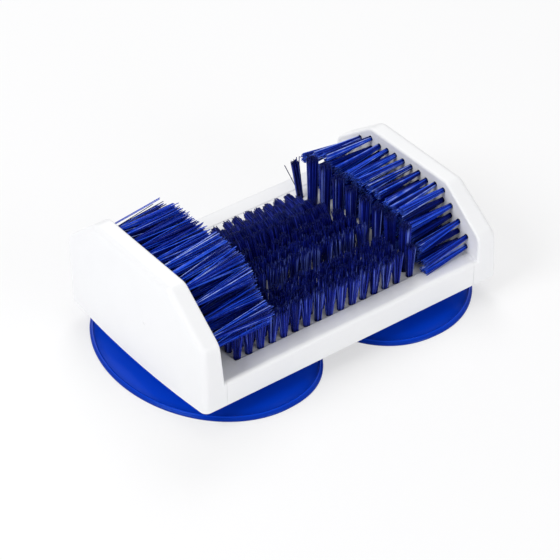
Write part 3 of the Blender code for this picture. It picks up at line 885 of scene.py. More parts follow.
@dataclass
class EndCasing:
    """The moulded shell of an end block, with its foot, lugs and the pocket for the brush plate."""

    block: EndBlock
    lug_length: float = 0.0135
    lug_width: float = 0.016
    lug_thickness: float = 0.0026
    lug_height: float = 0.0030
    lug_pitch: float = 0.0415
    plate_ledge: float = 0.0020
    rib: float = 0.0016
    bays: int = 6
    screw_hole: float = 0.0020
    hole_steps: int = 24
    gate: tuple[float, float] | None = None
    gate_radius: float = 0.0007
    gate_depth: float = 0.00025

    def build(self, finishes: Finishes) -> bpy.types.Object:
        """Builds and dresses the casing.

        Args:
            finishes: The brush's finishes.

        Returns:
            The casing's object.
        """
        block, sizes = self.block, self.block.sizes
        casing = Solid(f"{block.name}_casing_shell").start(block.shell())
        foot_near = sizes.foot_x - sizes.fit_gap + sizes.foot_seam
        casing.combine(Step.JOIN, rail_bar(sizes, block.side, foot_near, sizes.face_x + 2 * sizes.wall))
        casing.combine(Step.JOIN, self._lugs())
        pocket_far = sizes.face_x + sizes.plate_thickness + sizes.fit_gap
        pocket = block.plate(sizes.wall, sizes.pocket_floor, sizes.foot_x - sizes.overrun, pocket_far)
        casing.combine(Step.CUT, pocket)
        near, far = sizes.face_x + sizes.plate_thickness / 2, sizes.half_length - sizes.wall
        cavity = block.plate(sizes.wall + self.plate_ledge, sizes.pocket_floor + self.plate_ledge, near, far)
        casing.combine(Step.CUT, cavity)
        casing.combine(Step.CUT, self._foot_pockets())
        casing.combine(Step.CUT, self._screw_holes())
        if self.gate:
            casing.combine(Step.CUT, self._gate_dot(*self.gate))
        return casing.dress(finishes.white, Slot.WHITE, Body.ROOT, f"{block.name}_end_casing")

    def _lug_rows(self) -> tuple[float, float, float]:
        """Places (y) of the lugs."""
        return -self.lug_pitch, 0.0, self.lug_pitch

    def _lugs(self) -> Sheet:
        """The three lugs that reach under the tray.

        Returns:
            Their closed boxes.
        """
        sheet, foot_x = Sheet(), self.block.sizes.foot_x
        heights = (self.lug_height, self.lug_height + self.lug_thickness)
        for y in self._lug_rows():
            width = (y - self.lug_width / 2, y + self.lug_width / 2)
            far = foot_x + self.block.sizes.wall / 2
            sheet.box(*self.block.side_box(foot_x - self.lug_length, far, width, heights))
        return sheet

    def _foot_pockets(self) -> Sheet:
        """The pockets that hollow the foot from below.

        Returns:
            The closed cutters.
        """
        sheet, sizes = Sheet(), self.block.sizes
        reach = sizes.half_depth - sizes.wall
        limits = np.linspace(-reach, reach, self.bays + 1)
        heights = (-sizes.overrun, sizes.pocket_floor - sizes.wall)
        for low, high in zip(limits, limits[1:]):
            width = (low + self.rib / 2, high - self.rib / 2)
            sheet.box(*self.block.side_box(sizes.face_x, sizes.half_length - sizes.wall, width, heights))
        return sheet

    def _gate_dot(self, y: float, height: float) -> Sheet:
        """The shallow round mark that the mould's gate leaves on the outer face.

        Args:
            y: Its place along the face.
            height: Its height over the underside.

        Returns:
            The closed cutter.
        """
        block, sheet = self.block, Sheet()
        swell = block.foot_flare + block.face_bow * (1 - (y / block.sizes.half_depth) ** 2)
        crown_reach = (height - block.height / 2) / (block.height / 2)
        face = block.sizes.half_length + block.lean(height) + swell * (1 - height / block.height)
        face += block.crown * (1 - crown_reach**2)
        base, dot = height + block.sizes.underside, circle(self.gate_radius, self.hole_steps)
        levels = (face - self.gate_depth, face + block.sizes.overrun)
        sheet.loft([[(block.side * x, y + across, base + up) for across, up in dot] for x in levels])
        return sheet

    def _screw_holes(self) -> Sheet:
        """A hole through each lug.

        Returns:
            The closed cutters.
        """
        sheet, sizes = Sheet(), self.block.sizes
        x = self.block.side * (sizes.foot_x - self.lug_length / 2)
        low = sizes.underside + self.lug_height - sizes.overrun
        for y in self._lug_rows():
            profile = ((self.screw_hole, low), (self.screw_hole, low + 3 * sizes.overrun))
            sheet.turned(profile, (x, y), self.hole_steps)
        return sheet


def rail_bar(sizes: BodySizes, side: int, near: float, far: float) -> Sheet:
    """A bar of the tray's outer cross-section, its two long top edges rounded.

    Args:
        sizes: The body's sizes.
        side: The side that it lies on, -1 or 1.
        near: The distance of its near end from the middle.
        far: The distance of its far end.

    Returns:
        The closed bar.
    """
    steps, radius = 10, sizes.rail_round
    half = [(-sizes.half_depth, 0.0)]
    for i in range(steps + 1):
        a = math.pi / 2 * i / steps
        y = -sizes.half_depth + radius * (1 - math.cos(a))
        half.append((y, sizes.rail_height - radius * (1 - math.sin(a))))
    profile = half + [(-y, z) for y, z in reversed(half)]
    sheet = Sheet()
    sheet.loft([[(side * x, y, z + sizes.underside) for y, z in profile] for x in (near, far)])
    return sheet


@dataclass
class SuctionCup:
    """An oval suction cup: dome, rolled rim and a round neck that turns in the tray's socket.

    Shares run from 0 at the round collar to 1 at the oval edge; rim holds pairs of share and height.
    """

    name: str
    side: int
    sizes: BodySizes
    centre_x: float = 0.0535
    outer_reach: float = 0.0597
    inner_reach: float = 0.0528
    half_depth: float = 0.0743
    inner_exponent: float = 2.35
    lip_thickness: float = 0.0014
    lip_height: float = 0.0016
    dome_power: float = 1.3
    dome_shares: Span = (0.03, 0.94)
    dome_rings: int = 27
    ceiling: float = 0.0074
    ceiling_shares: Span = (0.92, 0.15)
    ceiling_rings: int = 16
    crown_share: float = 0.8
    neck_radius: float = 0.0070
    collar_radius: float = 0.0120
    collar_thickness: float = 0.0012
    ledge: float = 0.0025
    washer: float = 0.0012
    screw_length: float = 0.0078
    screw_bore: float = 0.0020
    steps: int = 192
    sharp_degrees: float = 40.0
    rim: tuple[tuple[float, float], ...] = (
        (0.946, 0.00193),
        (0.952, 0.00195),
        (0.957, 0.00208),
        (0.961, 0.00228),
        (0.9645, 0.00242),
        (0.9675, 0.00242),
        (0.970, 0.00226),
        (0.9735, 0.00198),
        (0.977, 0.00176),
        (0.980, 0.00167),
        (0.984, 0.00158),
        (0.989, 0.00147),
        (0.993, 0.00132),
        (0.997, 0.00108),
        (1.0, 0.00070),
        (0.9995, 0.00025),
        (0.996, 0.0),
        (0.945, 0.0),
    )

    def edge(self, turn: float, share: float, radius: float) -> tuple[float, float]:
        """A point of the cup's plan.

        Args:
            turn: The angle about its axis.
            share: How far from the round of that radius to the oval edge.
            radius: The round's radius.

        Returns:
            Its (x, y) from the axis.
        """
        outward, sideways = math.cos(turn), math.sin(turn)
        exponent, reach = (2.0, self.outer_reach) if outward >= 0 else (self.inner_exponent, self.inner_reach)
        x = math.copysign(reach * abs(outward) ** (2 / exponent), outward)
        y = math.copysign(self.half_depth * abs(sideways) ** (2 / exponent), sideways)
        round_x, round_y = radius * outward, radius * sideways
        return round_x + (x - round_x) * share, round_y + (y - round_y) * share

    def dome_height(self, share: float) -> float:
        """Height of the dome's skin at a share of the way out."""
        top = self.sizes.underside - self.sizes.fit_gap - self.collar_thickness
        return self.lip_height + (top - self.lip_height) * (1 - share**self.dome_power) ** self.dome_power

    def profile(self) -> list[tuple[float, float, float]]:
        """Lays out the skin from the screw's bore over the dome and the rim to the ceiling.

        Returns:
            Its rings, as (radius, share, height).
        """
        neck_top = self.sizes.underside + self.ledge + self.sizes.fit_gap
        collar_top = self.sizes.underside - self.sizes.fit_gap
        bore_end = neck_top + self.washer - self.screw_length
        chamfer = self.lip_thickness / 2
        rings = [
            (self.screw_bore, 0.0, bore_end),
            (self.screw_bore, 0.0, neck_top),
            (self.neck_radius - chamfer, 0.0, neck_top),
            (self.neck_radius, 0.0, neck_top - chamfer),
            (self.neck_radius, 0.0, collar_top),
            (self.collar_radius - chamfer, 0.0, collar_top),
            (self.collar_radius, 0.0, collar_top - chamfer),
        ]
        for share in np.linspace(*self.dome_shares, self.dome_rings):
            rings.append((self.collar_radius, float(share), self.dome_height(float(share))))
        rings += [(self.collar_radius, share, height) for share, height in self.rim]
        for share in np.linspace(*self.ceiling_shares, self.ceiling_rings):
            rings.append((self.collar_radius, float(share), self.ceiling * (1 - float(share) ** 2)))
        rings.append((self.collar_radius * self.crown_share, 0.0, self.ceiling))
        return rings

    def build(self, finishes: Finishes) -> bpy.types.Object:
        """Builds and dresses the cup.

        Args:
            finishes: The brush's finishes.

        Returns:
            The cup's object.
        """
        turns = [math.tau * i / self.steps for i in range(self.steps)]
        rings = []
        for radius, share, height in self.profile():
            ring = []
            for turn in turns:
                x, y = self.edge(turn, share, radius)
                ring.append((self.side * (self.centre_x + x), y, height))
            rings.append(ring)
        sheet = Sheet()
        sheet.loft(rings)
        body = Body(f"{self.name}_cup")
        cup = Solid(f"{self.name}_cup_moulding", self.sharp_degrees).start(sheet)
        return cup.dress(finishes.soft_blue, Slot.SOFT_BLUE, body, f"{self.name}_suction_cup")


@dataclass
class Tuft:
    """One tuft: where it stands and points, how it spreads, its filaments and how much painted light their
    colour gets.
    """

    root: Vector
    direction: Vector
    length: float
    root_radius: float
    tip_radius: float
    count: int = 44
    lit: float = 1.0


def loose_strand(foot: Point, tip: Point, spread: float = 0.0002) -> Tuft:
    """A single filament from one point to another."""
    reach = Vector(tip) - Vector(foot)
    return Tuft(Vector(foot), reach, reach.length, spread, spread, 1)


@dataclass
class Filaments:
    """Turns tufts into bundles of filaments with rounded tips, all in one mesh."""

    name: str
    radius: float = 0.00027
    levels: tuple[float, ...] = (0.0, 0.3, 0.62, 1.0)
    sides: int = 5
    sink: float = 0.0010
    length_spread: float = 0.00035
    tip_wander: float = 0.00040
    dome: float = 0.0
    splay_power: float = 1.08
    tip_round: float = 0.5
    shoulder_level: float = 0.99
    steep: float = 0.7
    inner_shade: float = 0.45
    seed: int = 1

    def build(self, tufts: Sequence[Tuft], material: bpy.types.Material) -> bpy.types.Object:
        """Builds the mesh.

        Args:
            tufts: The tufts of this piece.
            material: The filaments' finish.

        Returns:
            The object, not yet on a body.
        """
        rng = np.random.default_rng(self.seed)
        parts = [self._lines(tuft, rng) for tuft in tufts]
        lines = np.concatenate([lines for lines, _ in parts])
        tones_and_shade = np.concatenate([tones_and_shade for _, tones_and_shade in parts])
        return self._tubes(lines, tones_and_shade, material)

    def _lines(self, tuft: Tuft, rng: np.random.Generator) -> tuple[np.ndarray, np.ndarray]:
        """Lays the middle line of each filament of a tuft.

        Args:
            tuft: The tuft.
            rng: The source of the small differences.

        Returns:
            The lines, as (filament, level, xyz), and how light each filament is, from 0 to 1.
        """
        n = tuft.count
        number = np.arange(n)
        disk = np.sqrt((number + 1 / 2) / n)
        direction = np.array(tuft.direction.normalized())
        first = np.cross(direction, (0.0, 0.0, 1.0) if abs(direction[2]) < self.steep else (0.0, 1.0, 0.0))
        first /= np.linalg.norm(first)
        second = np.cross(direction, first)
        angle = number * GOLDEN_ANGLE + rng.uniform(0, math.tau)
        start = np.stack([disk * np.cos(angle), disk * np.sin(angle)], 1) * tuft.root_radius
        end = start * (tuft.tip_radius / tuft.root_radius) + rng.normal(0, self.tip_wander, (n, 2))
        length = tuft.length + rng.normal(0, self.length_spread, n) - self.dome * disk**2
        share = np.array(self.levels)[None, :, None]
        across = start[:, None] + (end - start)[:, None] * share**self.splay_power
        going = (-self.sink + (length[:, None, None] + self.sink) * share) * direction
        lines = np.array(tuft.root) + going + across[..., :1] * first + across[..., 1:] * second
        # Random tone for each filament, times painted shade towards the tuft's middle and the tuft's painted
        # light
        return lines, rng.uniform(0, 1, n) * (1 - self.inner_shade * (1 - disk)) * tuft.lit

    def _tubes(self, lines: np.ndarray, tones_and_shade: np.ndarray, material: bpy.types.Material) -> bpy.types.Object:
        """Skins the lines with closed tubes.

        Args:
            lines: The middle lines.
            tones_and_shade: How light each filament is.
            material: The finish.

        Returns:
            The object.
        """
        heading = lines[:, -1] - lines[:, 0]
        heading /= np.linalg.norm(heading, axis=1)[:, None]
        helper = np.where(np.abs(heading[:, 2:]) < self.steep, (0.0, 0.0, 1.0), (1.0, 0.0, 0.0))
        first = np.cross(heading, helper)
        first /= np.linalg.norm(first, axis=1)[:, None]
        second = np.cross(heading, first)
        last = lines[:, -1] - lines[:, -2]
        last /= np.linalg.norm(last, axis=1)[:, None]
        shoulder = lines[:, -1] - last * self.radius
        centres = np.concatenate([lines[:, :-1], shoulder[:, None], lines[:, -1:]], 1)
        scale = np.ones(centres.shape[1])
        scale[-1] = self.tip_round
        levels = np.append(self.levels, 1.0)
        levels[-2] = self.shoulder_level
        n, rings, m = len(lines), centres.shape[1], self.sides
        spin = tones_and_shade[:, None] * math.tau + np.arange(m) * math.tau / m
        ray = np.cos(spin)[..., None] * first[:, None] + np.sin(spin)[..., None] * second[:, None]
        points = centres[:, :, None] + ray[:, None] * (self.radius * scale)[None, :, None, None]
        index = np.arange(n * rings * m).reshape(n, rings, m)
        low, high = index[:, :-1], index[:, 1:]
        walls = np.stack([low, np.roll(low, -1, 2), np.roll(high, -1, 2), high], -1).reshape(-1, 4)
        caps = np.concatenate([index[:, 0, ::-1], index[:, -1]])
        mesh = bpy.data.meshes.new(self.name)
        loops = np.concatenate([walls.reshape(-1), caps.reshape(-1)])
        sizes = np.concatenate([np.full(len(walls), 4), np.full(len(caps), m)])
        mesh.vertices.add(n * rings * m)
        mesh.vertices.foreach_set("co", points.reshape(-1).astype(np.float32))
        mesh.loops.add(len(loops))
        mesh.loops.foreach_set("vertex_index", loops.astype(np.int32))
        mesh.polygons.add(len(sizes))
        mesh.polygons.foreach_set("loop_start", np.concatenate([[0], np.cumsum(sizes)[:-1]]).astype(np.int32))
        mesh.update(calc_edges=True)
        mesh.shade_smooth()
        for key, values in (
            ("along", np.broadcast_to(levels[None, :, None], (n, rings, m))),
            ("tone", np.broadcast_to(tones_and_shade[:, None, None], (n, rings, m))),
        ):
            layer = mesh.attributes.new(key, "FLOAT", "POINT")
            layer.data.foreach_set("value", np.ascontiguousarray(values, np.float32).reshape(-1))
        mesh.materials.append(material)
        made = bpy.data.objects.new(self.name, mesh)
        bpy.context.scene.collection.objects.link(made)
        return made


@dataclass
class TallColumn:
    """The column of taller, open tufts beside the right side brush, and the low tuft at its front corner."""

    sizes: BodySizes
    end_margin: float = 0.0222
    slant: float = 0.0465
    first_y: float = -0.0547
    pitch: float = 0.01116
    count: int = 10
    length: float = 0.0310
    root_radius: float = 0.0028
    tip_radius: float = 0.0033
    filaments: int = 98
    lit: float = 1.05
    sway: Span = (0.010, 0.015)
    longer_at_back: tuple[float, ...] = (0.0015, 0.0034, 0.0030)
    front_place: Span = (0.0500, -0.0500)
    front_length: float = 0.021
    front_radii: Span = (0.00175, 0.0028)
    front_filaments: int = 50
    open_aside: float = -0.155
    open_length: float = 0.0272
    open_radii: Span = (0.0019, 0.0024)
    open_filaments: int = 40
    corner_place: Span = (0.0700, -0.0508)
    corner_length: float = 0.0090
    corner_radius: float = 0.00175
    corner_lit: float = 0.4

    def _on_board(self, x: float, y: float) -> Vector:
        """A place on the board's face."""
        return Vector((x, y, self.sizes.floor_z))

    def tufts(self, rng: np.random.Generator) -> list[Tuft]:
        """Lays out the column, a short tuft at its front and an open one at its back.

        Args:
            rng: The source of the small differences.

        Returns:
            Its tufts, and after them the low one beside the right end block.
        """
        column = []
        middle_x = self.sizes.board_half_x - self.end_margin
        for number in range(self.count):
            y = self.first_y + self.pitch * number
            direction = Vector((*(rng.normal(0, sway) for sway in self.sway), 1.0))
            radii = (self.root_radius, self.tip_radius)
            root = self._on_board(middle_x - self.slant * y, y)
            column.append(Tuft(root, direction, self.length, *radii, self.filaments, self.lit))
        for tuft, longer in zip(column[-4:-1], self.longer_at_back):
            tuft.length += longer
        front, back = column[0], column[-1]
        front.root, front.length = self._on_board(*self.front_place), self.front_length
        (front.root_radius, front.tip_radius), front.count = self.front_radii, self.front_filaments
        back.direction, back.length = Vector((self.open_aside, 0.0, 1.0)), self.open_length
        (back.root_radius, back.tip_radius), back.count = self.open_radii, self.open_filaments
        corner, upright = self._on_board(*self.corner_place), Vector((0.0, 0.0, 1.0))
        radii = (self.corner_radius, self.corner_radius)
        return [*column, Tuft(corner, upright, self.corner_length, *radii, lit=self.corner_lit)]


@dataclass
class FloorBrush:
    """The board's face with its tuft holes, and the tufts that stand in it."""

    sizes: BodySizes
    pitch: float = 0.0078
    end_margin: float = 0.0026
    edge_margin: float = 0.0018
    columns: int = 15
    front_rows: tuple[int, ...] = (0, 1, 2)
    middle_rows: tuple[int, ...] = (4, 5)
    back_rows: tuple[int, ...] = (6, 7, 8, 9, 10)
    middle_leans: tuple[float, ...] = (3.0, 6.0)
    back_leans: tuple[float, ...] = (12.0, 30.0, 50.0, 67.0, 77.0)
    back_lengths: tuple[float, ...] = (0.0210, 0.0206, 0.0200, 0.0196, 0.0195)
    back_splay: float = 3.5
    tuft_length: float = 0.021
    root_radius: float = 0.00175
    tip_radius: float = 0.0035
    front_filaments: int = 54
    back_root_radius: float = 0.0020
    back_tip_radius: float = 0.0033
    finger_tip_radius: float = 0.0027
    back_filaments: int = 48
    finger_filaments: int = 68
    finger_rows: int = 2
    wander_degrees: float = 1.8
    back_wander_degrees: float = 4.0
    length_spread: float = 0.0005
    tight_tip_wander: float = 0.00025
    open_tip_wander: float = 0.0006
    dome: float = 0.0010
    back_dome: float = 0.0014
    lay_seed: int = 7
    first_strand_seed: int = 11
    hole_play: float = 0.00035
    hole_depth: float = 0.0013
    hole_steps: int = 20
    border: float = 0.0016
    border_rise: float = 0.0006
    # Painted light on the rows whose sides face the front and the lane between rows
    lane_light: dict[int, float] = field(default_factory=lambda: {0: 1.15, 4: 1.35})

    def __post_init__(self) -> None:
        """Works out the grid's first place."""
        self.first_x = self.end_margin - self.sizes.board_half_x
        self.first_y = self.edge_margin - self.sizes.board_half_y

    def _row(self, row: int, lean: float, length: float, rng: np.random.Generator) -> list[Tuft]:
        """One row of floor tufts.

        Args:
            row: Its number from the front.
            lean: Its lean to the back, in degrees.
            length: Its tufts' length.
            rng: The source of the small differences.

        Returns:
            Its tufts.
        """
        at_back = row in self.back_rows
        lit, wander = self.lane_light.get(row, 1.0), self.wander_degrees
        if row in self.back_rows[-self.finger_rows :]:
            radii, count = (self.back_root_radius, self.finger_tip_radius), self.finger_filaments
        elif at_back:
            radii, count = (self.back_root_radius, self.back_tip_radius), self.back_filaments
            wander = self.back_wander_degrees
        else:
            radii, count = (self.root_radius, self.tip_radius), self.front_filaments
        tufts = []
        for column in range(self.columns):
            x, y = self.first_x + self.pitch * column, self.first_y + self.pitch * row
            angle = math.radians(lean + rng.normal(0, wander))
            aside = rng.normal(0, math.radians(wander))
            if at_back:
                aside -= self.back_splay * max(0.0, x + self.pitch) * math.sin(angle)
            direction = Vector((aside, math.sin(angle), math.cos(angle)))
            tufts.append(Tuft(Vector((x, y, self.sizes.floor_z)), direction, length, *radii, count, lit))
        return tufts

    def groups(self) -> dict[str, list[Tuft]]:
        """Lays out the three groups of floor tufts and the tall ones.

        Returns:
            The groups, by the node that each stands for.
        """
        rng = np.random.default_rng(self.lay_seed)
        short = self.tuft_length
        made = {
            "front_floor_tufts": [self._row(row, 0.0, short, rng) for row in self.front_rows],
            "middle_floor_tufts": [
                self._row(row, lean, short, rng) for row, lean in zip(self.middle_rows, self.middle_leans)
            ],
            "back_floor_tufts": [
                self._row(row, lean, length, rng)
                for row, lean, length in zip(self.back_rows, self.back_leans, self.back_lengths)
            ],
            "tall_tufts": [TallColumn(self.sizes).tufts(rng)],
        }
        return {node: [tuft for row in rows for tuft in row] for node, rows in made.items()}

    def build(self, finishes: Finishes) -> None:
        """Builds the board's face and every group of tufts.

        Args:
            finishes: The brush's finishes.
        """
        groups = self.groups()
        self._board_face([tuft for tufts in groups.values() for tuft in tufts], finishes)
        groups["tall_tufts"] += [loose_strand(*ends) for ends in TALL_STRANDS]
        for seed, (node, tufts) in enumerate(groups.items(), self.first_strand_seed):
            at_back = node == "back_floor_tufts"
            tight = at_back or node == "tall_tufts"
            filaments = Filaments(
                node.replace("tufts", "filaments"),
                length_spread=self.length_spread,
                tip_wander=self.tight_tip_wander if tight else self.open_tip_wander,
                dome=self.back_dome if at_back else self.dome,
                seed=seed,
            )
            # The back rows take the nylon copy with painted shade
            nylon = finishes.back_nylon if at_back else finishes.floor_nylon
            place(filaments.build(tufts, nylon), Slot.BRISTLE, Body.ROOT, node)

    def _board_face(self, tufts: Sequence[Tuft], finishes: Finishes) -> None:
        """The top of the board, its bevelled border raised, with a round hole for each tuft.

        Args:
            tufts: The tufts that stand in it.
            finishes: The brush's finishes.
        """
        sizes = self.sizes
        reach = sizes.fit_gap - sizes.seam
        rings, corners = [], ((-1, -1), (1, -1), (1, 1), (-1, 1))
        for inset, rise in ((0.0, -sizes.backing), (0.0, self.border_rise), (self.border, 0.0)):
            x, y = sizes.board_half_x + reach - inset, sizes.board_half_y + reach - inset
            rings.append([(a * x, b * y, sizes.floor_z + rise) for a, b in corners])
        sheet, holes = Sheet(), Sheet()
        sheet.loft(rings)
        for tuft in tufts:
            radius = tuft.root_radius + self.hole_play
            profile = ((radius, sizes.floor_z - self.hole_depth), (radius, sizes.floor_z + sizes.overrun))
            holes.turned(profile, (tuft.root.x, tuft.root.y), self.hole_steps)
        face = Solid("floor_board_face").start(sheet).combine(Step.CUT, holes)
        face.dress(finishes.white, Slot.WHITE, Body.ROOT)


@dataclass(frozen=True)
class Bend:
    """One side tuft that stands or points a little differently from its neighbours."""

    column: int
    row: int
    shift_y: float
    shift_z: float
    aside: float
    rise: float
    longer: float = 0.0


@dataclass
class SideBrush:
    """The tufts on an end block's inner face, and the plate's face that they stand in."""

    block: EndBlock
    first_row: float
    tuft_length: float
    tip_radius: float
    tip_wander: float
    filaments: int = 44
    filament_radius: float = 0.00027
    aside: float = 0.0
    front_rise: float = 0.0
    low_rise: float = 0.0
    top_droop: float = 0.0
    wander: float = 0.035
    length_spread: float = 0.0004
    root_radius: float = 0.00125
    column_pitch: float = 0.0071
    row_pitch: float = 0.0066
    top_margin: float = 0.0059
    tuft_margin: float = 0.0060
    hole_radius: float = 0.0017
    hole_reach: Span = (-0.0010, 0.0012)
    hole_steps: int = 20
    sink: float = 0.0007
    hidden_light: float = 0.45
    inner_shade: float = 0.35
    lay_seed: int = 31
    strand_seed: int = 41
    bends: tuple[Bend, ...] = ()
    loose: tuple[tuple[Point, Point], ...] = ()

    def places(self) -> list[tuple[int, int]]:
        """Lays out the grid of tufts within the plate's outline.

        Returns:
            The places: column from the middle, negative to the front, and row from below.
        """
        block, sizes = self.block, self.block.sizes
        shoulder, crest = Vector((sizes.half_depth, block.shoulder)), Vector((block.crest_half, block.height))
        along = (crest - shoulder).normalized()
        normal = Vector((along.y, -along.x))
        reach = normal.dot(shoulder) - self.tuft_margin
        found = []
        for row in range(int((block.height - self.top_margin - self.first_row) / self.row_pitch + 1)):
            height = self.first_row + row * self.row_pitch
            widest = min(sizes.half_depth - self.tuft_margin, (reach - normal.y * height) / normal.x)
            columns = int((widest + self.column_pitch / 2) / self.column_pitch)
            found += [(column, row) for column in range(-columns, columns)]
        return found

    def tufts(self) -> list[Tuft]:
        """Lays out the tufts; the ones on top and in front are painted lighter, the ones beneath get painted
        shade.

        Returns:
            All the tufts of this side.
        """
        block, sizes = self.block, self.block.sizes
        rng = np.random.default_rng(self.lay_seed + block.side)
        places = self.places()
        top_row, front = max(row for _, row in places), min(column for column, _ in places)
        bends = {(bend.column, bend.row): bend for bend in self.bends}
        made = []
        for column, row in places:
            bend = bends.get((column, row), Bend(column, row, 0.0, 0.0, 0.0, 0.0))
            y = self.column_pitch * (column + 1 / 2) + bend.shift_y
            height = self.first_row + row * self.row_pitch + bend.shift_z
            root = Vector((block.side * (sizes.face_x + block.lean(height)), y, height + sizes.underside))
            level = row / top_row
            rise = self.low_rise * (1 - level) - self.top_droop * level**2 + bend.rise
            rise -= self.front_rise * y / sizes.half_depth
            aside = self.aside + bend.aside + rng.normal(0, self.wander)
            direction = Vector((-block.side, aside, rise + rng.normal(0, self.wander)))
            seen = (column, row + 1) not in places or column == front
            lit = 1.0 if seen else self.hidden_light
            length = self.tuft_length + bend.longer
            made.append(Tuft(root, direction, length, self.root_radius, self.tip_radius, self.filaments, lit))
        return made

    def build(self, finishes: Finishes) -> None:
        """Builds the plate, its face with the tuft holes, and the filaments.

        Args:
            finishes: The brush's finishes.
        """
        block, sizes = self.block, self.block.sizes
        name = block.name
        tufts = self.tufts()
        inset, bottom = sizes.wall + sizes.seam, sizes.pocket_floor + sizes.seam
        thick = block.plate(inset, bottom, sizes.face_x, sizes.face_x + sizes.plate_thickness)
        face = Solid(f"{name}_plate_face").start(thick).combine(Step.CUT, self._holes(tufts))
        face.dress(finishes.white, Slot.WHITE, Body.ROOT, f"{name}_brush_plate")
        tufts += [loose_strand(*ends) for ends in self.loose]
        filaments = Filaments(
            f"{name}_side_filaments",
            radius=self.filament_radius,
            sink=self.sink,
            length_spread=self.length_spread,
            tip_wander=self.tip_wander,
            inner_shade=self.inner_shade,
            seed=self.strand_seed + block.side,
        )
        piece = filaments.build(tufts, finishes.side_nylon)
        place(piece, Slot.BRISTLE, Body.ROOT, f"{name}_side_tufts")

    def _holes(self, tufts: Sequence[Tuft]) -> Sheet:
        """A short round hole for each tuft, along X.

        Args:
            tufts: The tufts.

        Returns:
            The closed cutters.
        """
        sheet, hole = Sheet(), circle(self.hole_radius, self.hole_steps)
        for tuft in tufts:
            x, y, z = tuft.root
            depths = [self.block.side * reach for reach in self.hole_reach]
            sheet.loft([[(x + depth, y + across, z + up) for across, up in hole] for depth in depths])
        return sheet


@dataclass(frozen=True)
class PhotoCamera:
    """The camera at the photograph's angle: where it looks, from how far, and its lens."""

    azimuth_degrees: float = 37.196
    elevation_degrees: float = 37.781
    distance: float = 1.422966
    aim_right: float = -0.001571
    aim_up: float = 0.003346
    aim_height: float = 0.013
    lens_mm: float = 162.77
    sensor_mm: float = 36.0

    def build(self) -> None:
        """Makes the camera and sets it as the scene's."""
        a, e = math.radians(self.azimuth_degrees), math.radians(self.elevation_degrees)
        forward = Vector((math.sin(a) * math.cos(e), math.cos(a) * math.cos(e), -math.sin(e)))
        right = Vector((math.cos(a), -math.sin(a), 0.0))
        up = right.cross(forward)
        data = bpy.data.cameras.new("photo_camera")
        data.lens = self.lens_mm
        data.sensor_width = self.sensor_mm
        camera = bpy.data.objects.new("photo_camera", data)
        aim = right * self.aim_right + up * self.aim_up + Vector((0.0, 0.0, self.aim_height))
        camera.location = aim - forward * self.distance
        camera.rotation_euler = (math.pi / 2 - e, 0.0, -a)
        bpy.context.scene.collection.objects.link(camera)
        bpy.context.scene.camera = camera


@dataclass(frozen=True)
class Lamp:
    """A large soft lamp aimed at the brush."""

    name: str
    place: Point
    size: float
    watts: float
    aim: Point = (0.0, 0.0, 0.03)

    def build(self) -> None:
        """Makes the lamp."""
        data = bpy.data.lights.new(self.name, "AREA")
        data.shape = "DISK"
        data.size = self.size
        data.energy = self.watts
        lamp = bpy.data.objects.new(self.name, data)
        lamp.location = self.place
        lamp.rotation_euler = (Vector(self.aim) - Vector(self.place)).to_track_quat("-Z", "Y").to_euler()
        bpy.context.scene.collection.objects.link(lamp)


@dataclass(frozen=True)
class Studio:
    """A plain white floor that keeps a pale shadow, an even pale sky and three soft lamps."""

    floor_half: float = 4.0
    floor_colour: Colour = (0.90, 0.90, 0.91)
    floor_white: float = 0.55
    sky_strength: float = 0.50
    lamps: tuple[Lamp, ...] = (
        Lamp("left_lamp", (-1.24, 0.02, 1.14), 0.9, 13.5),
        Lamp("back_lamp", (0.60, 0.85, 1.34), 0.8, 7.6),
        Lamp("front_lamp", (0.26, -1.44, 0.42), 0.8, 6.4),
    )

    def build(self) -> None:
        """Makes the floor, the sky and the lamps."""
        self._floor()
        self._sky()
        for lamp in self.lamps:
            lamp.build()
        bpy.context.scene.view_settings.view_transform = "Standard"

    def _floor(self) -> None:
        """The floor: white to the camera, with the brush's shadow kept."""
        reach = self.floor_half
        mesh = bpy.data.meshes.new("studio_floor")
        corners = [(-reach, -reach, 0.0), (reach, -reach, 0.0), (reach, reach, 0.0), (-reach, reach, 0.0)]
        mesh.from_pydata(corners, [], [(0, 1, 2, 3)])
        floor = bpy.data.objects.new("studio_floor", mesh)
        bpy.context.scene.collection.objects.link(floor)
        shader = Shader.of_material("white_studio_floor")
        paint = shader.node("ShaderNodeBsdfDiffuse", None, {"Color": (*self.floor_colour, 1.0)})
        glow = shader.node("ShaderNodeEmission", None, {"Color": WHITE_LIGHT, "Strength": 1.0})
        seen = shader.node("ShaderNodeLightPath", None, None, "Is Camera Ray")
        mixed = shader.node("ShaderNodeMixShader", None, {0: seen * self.floor_white, 1: paint, 2: glow})
        mesh.materials.append(shader.finish(mixed))

    def _sky(self) -> None:
        """An even sky that lights the brush and shows white to the camera."""
        shader = Shader(bpy.data.worlds.new("pale_sky"))
        seen = shader.node("ShaderNodeLightPath", None, None, "Is Camera Ray")
        strength = seen * (1.0 - self.sky_strength) + self.sky_strength
        sky = shader.node("ShaderNodeBackground", None, {"Color": WHITE_LIGHT, "Strength": strength})
        bpy.context.scene.world = shader.finish(sky)


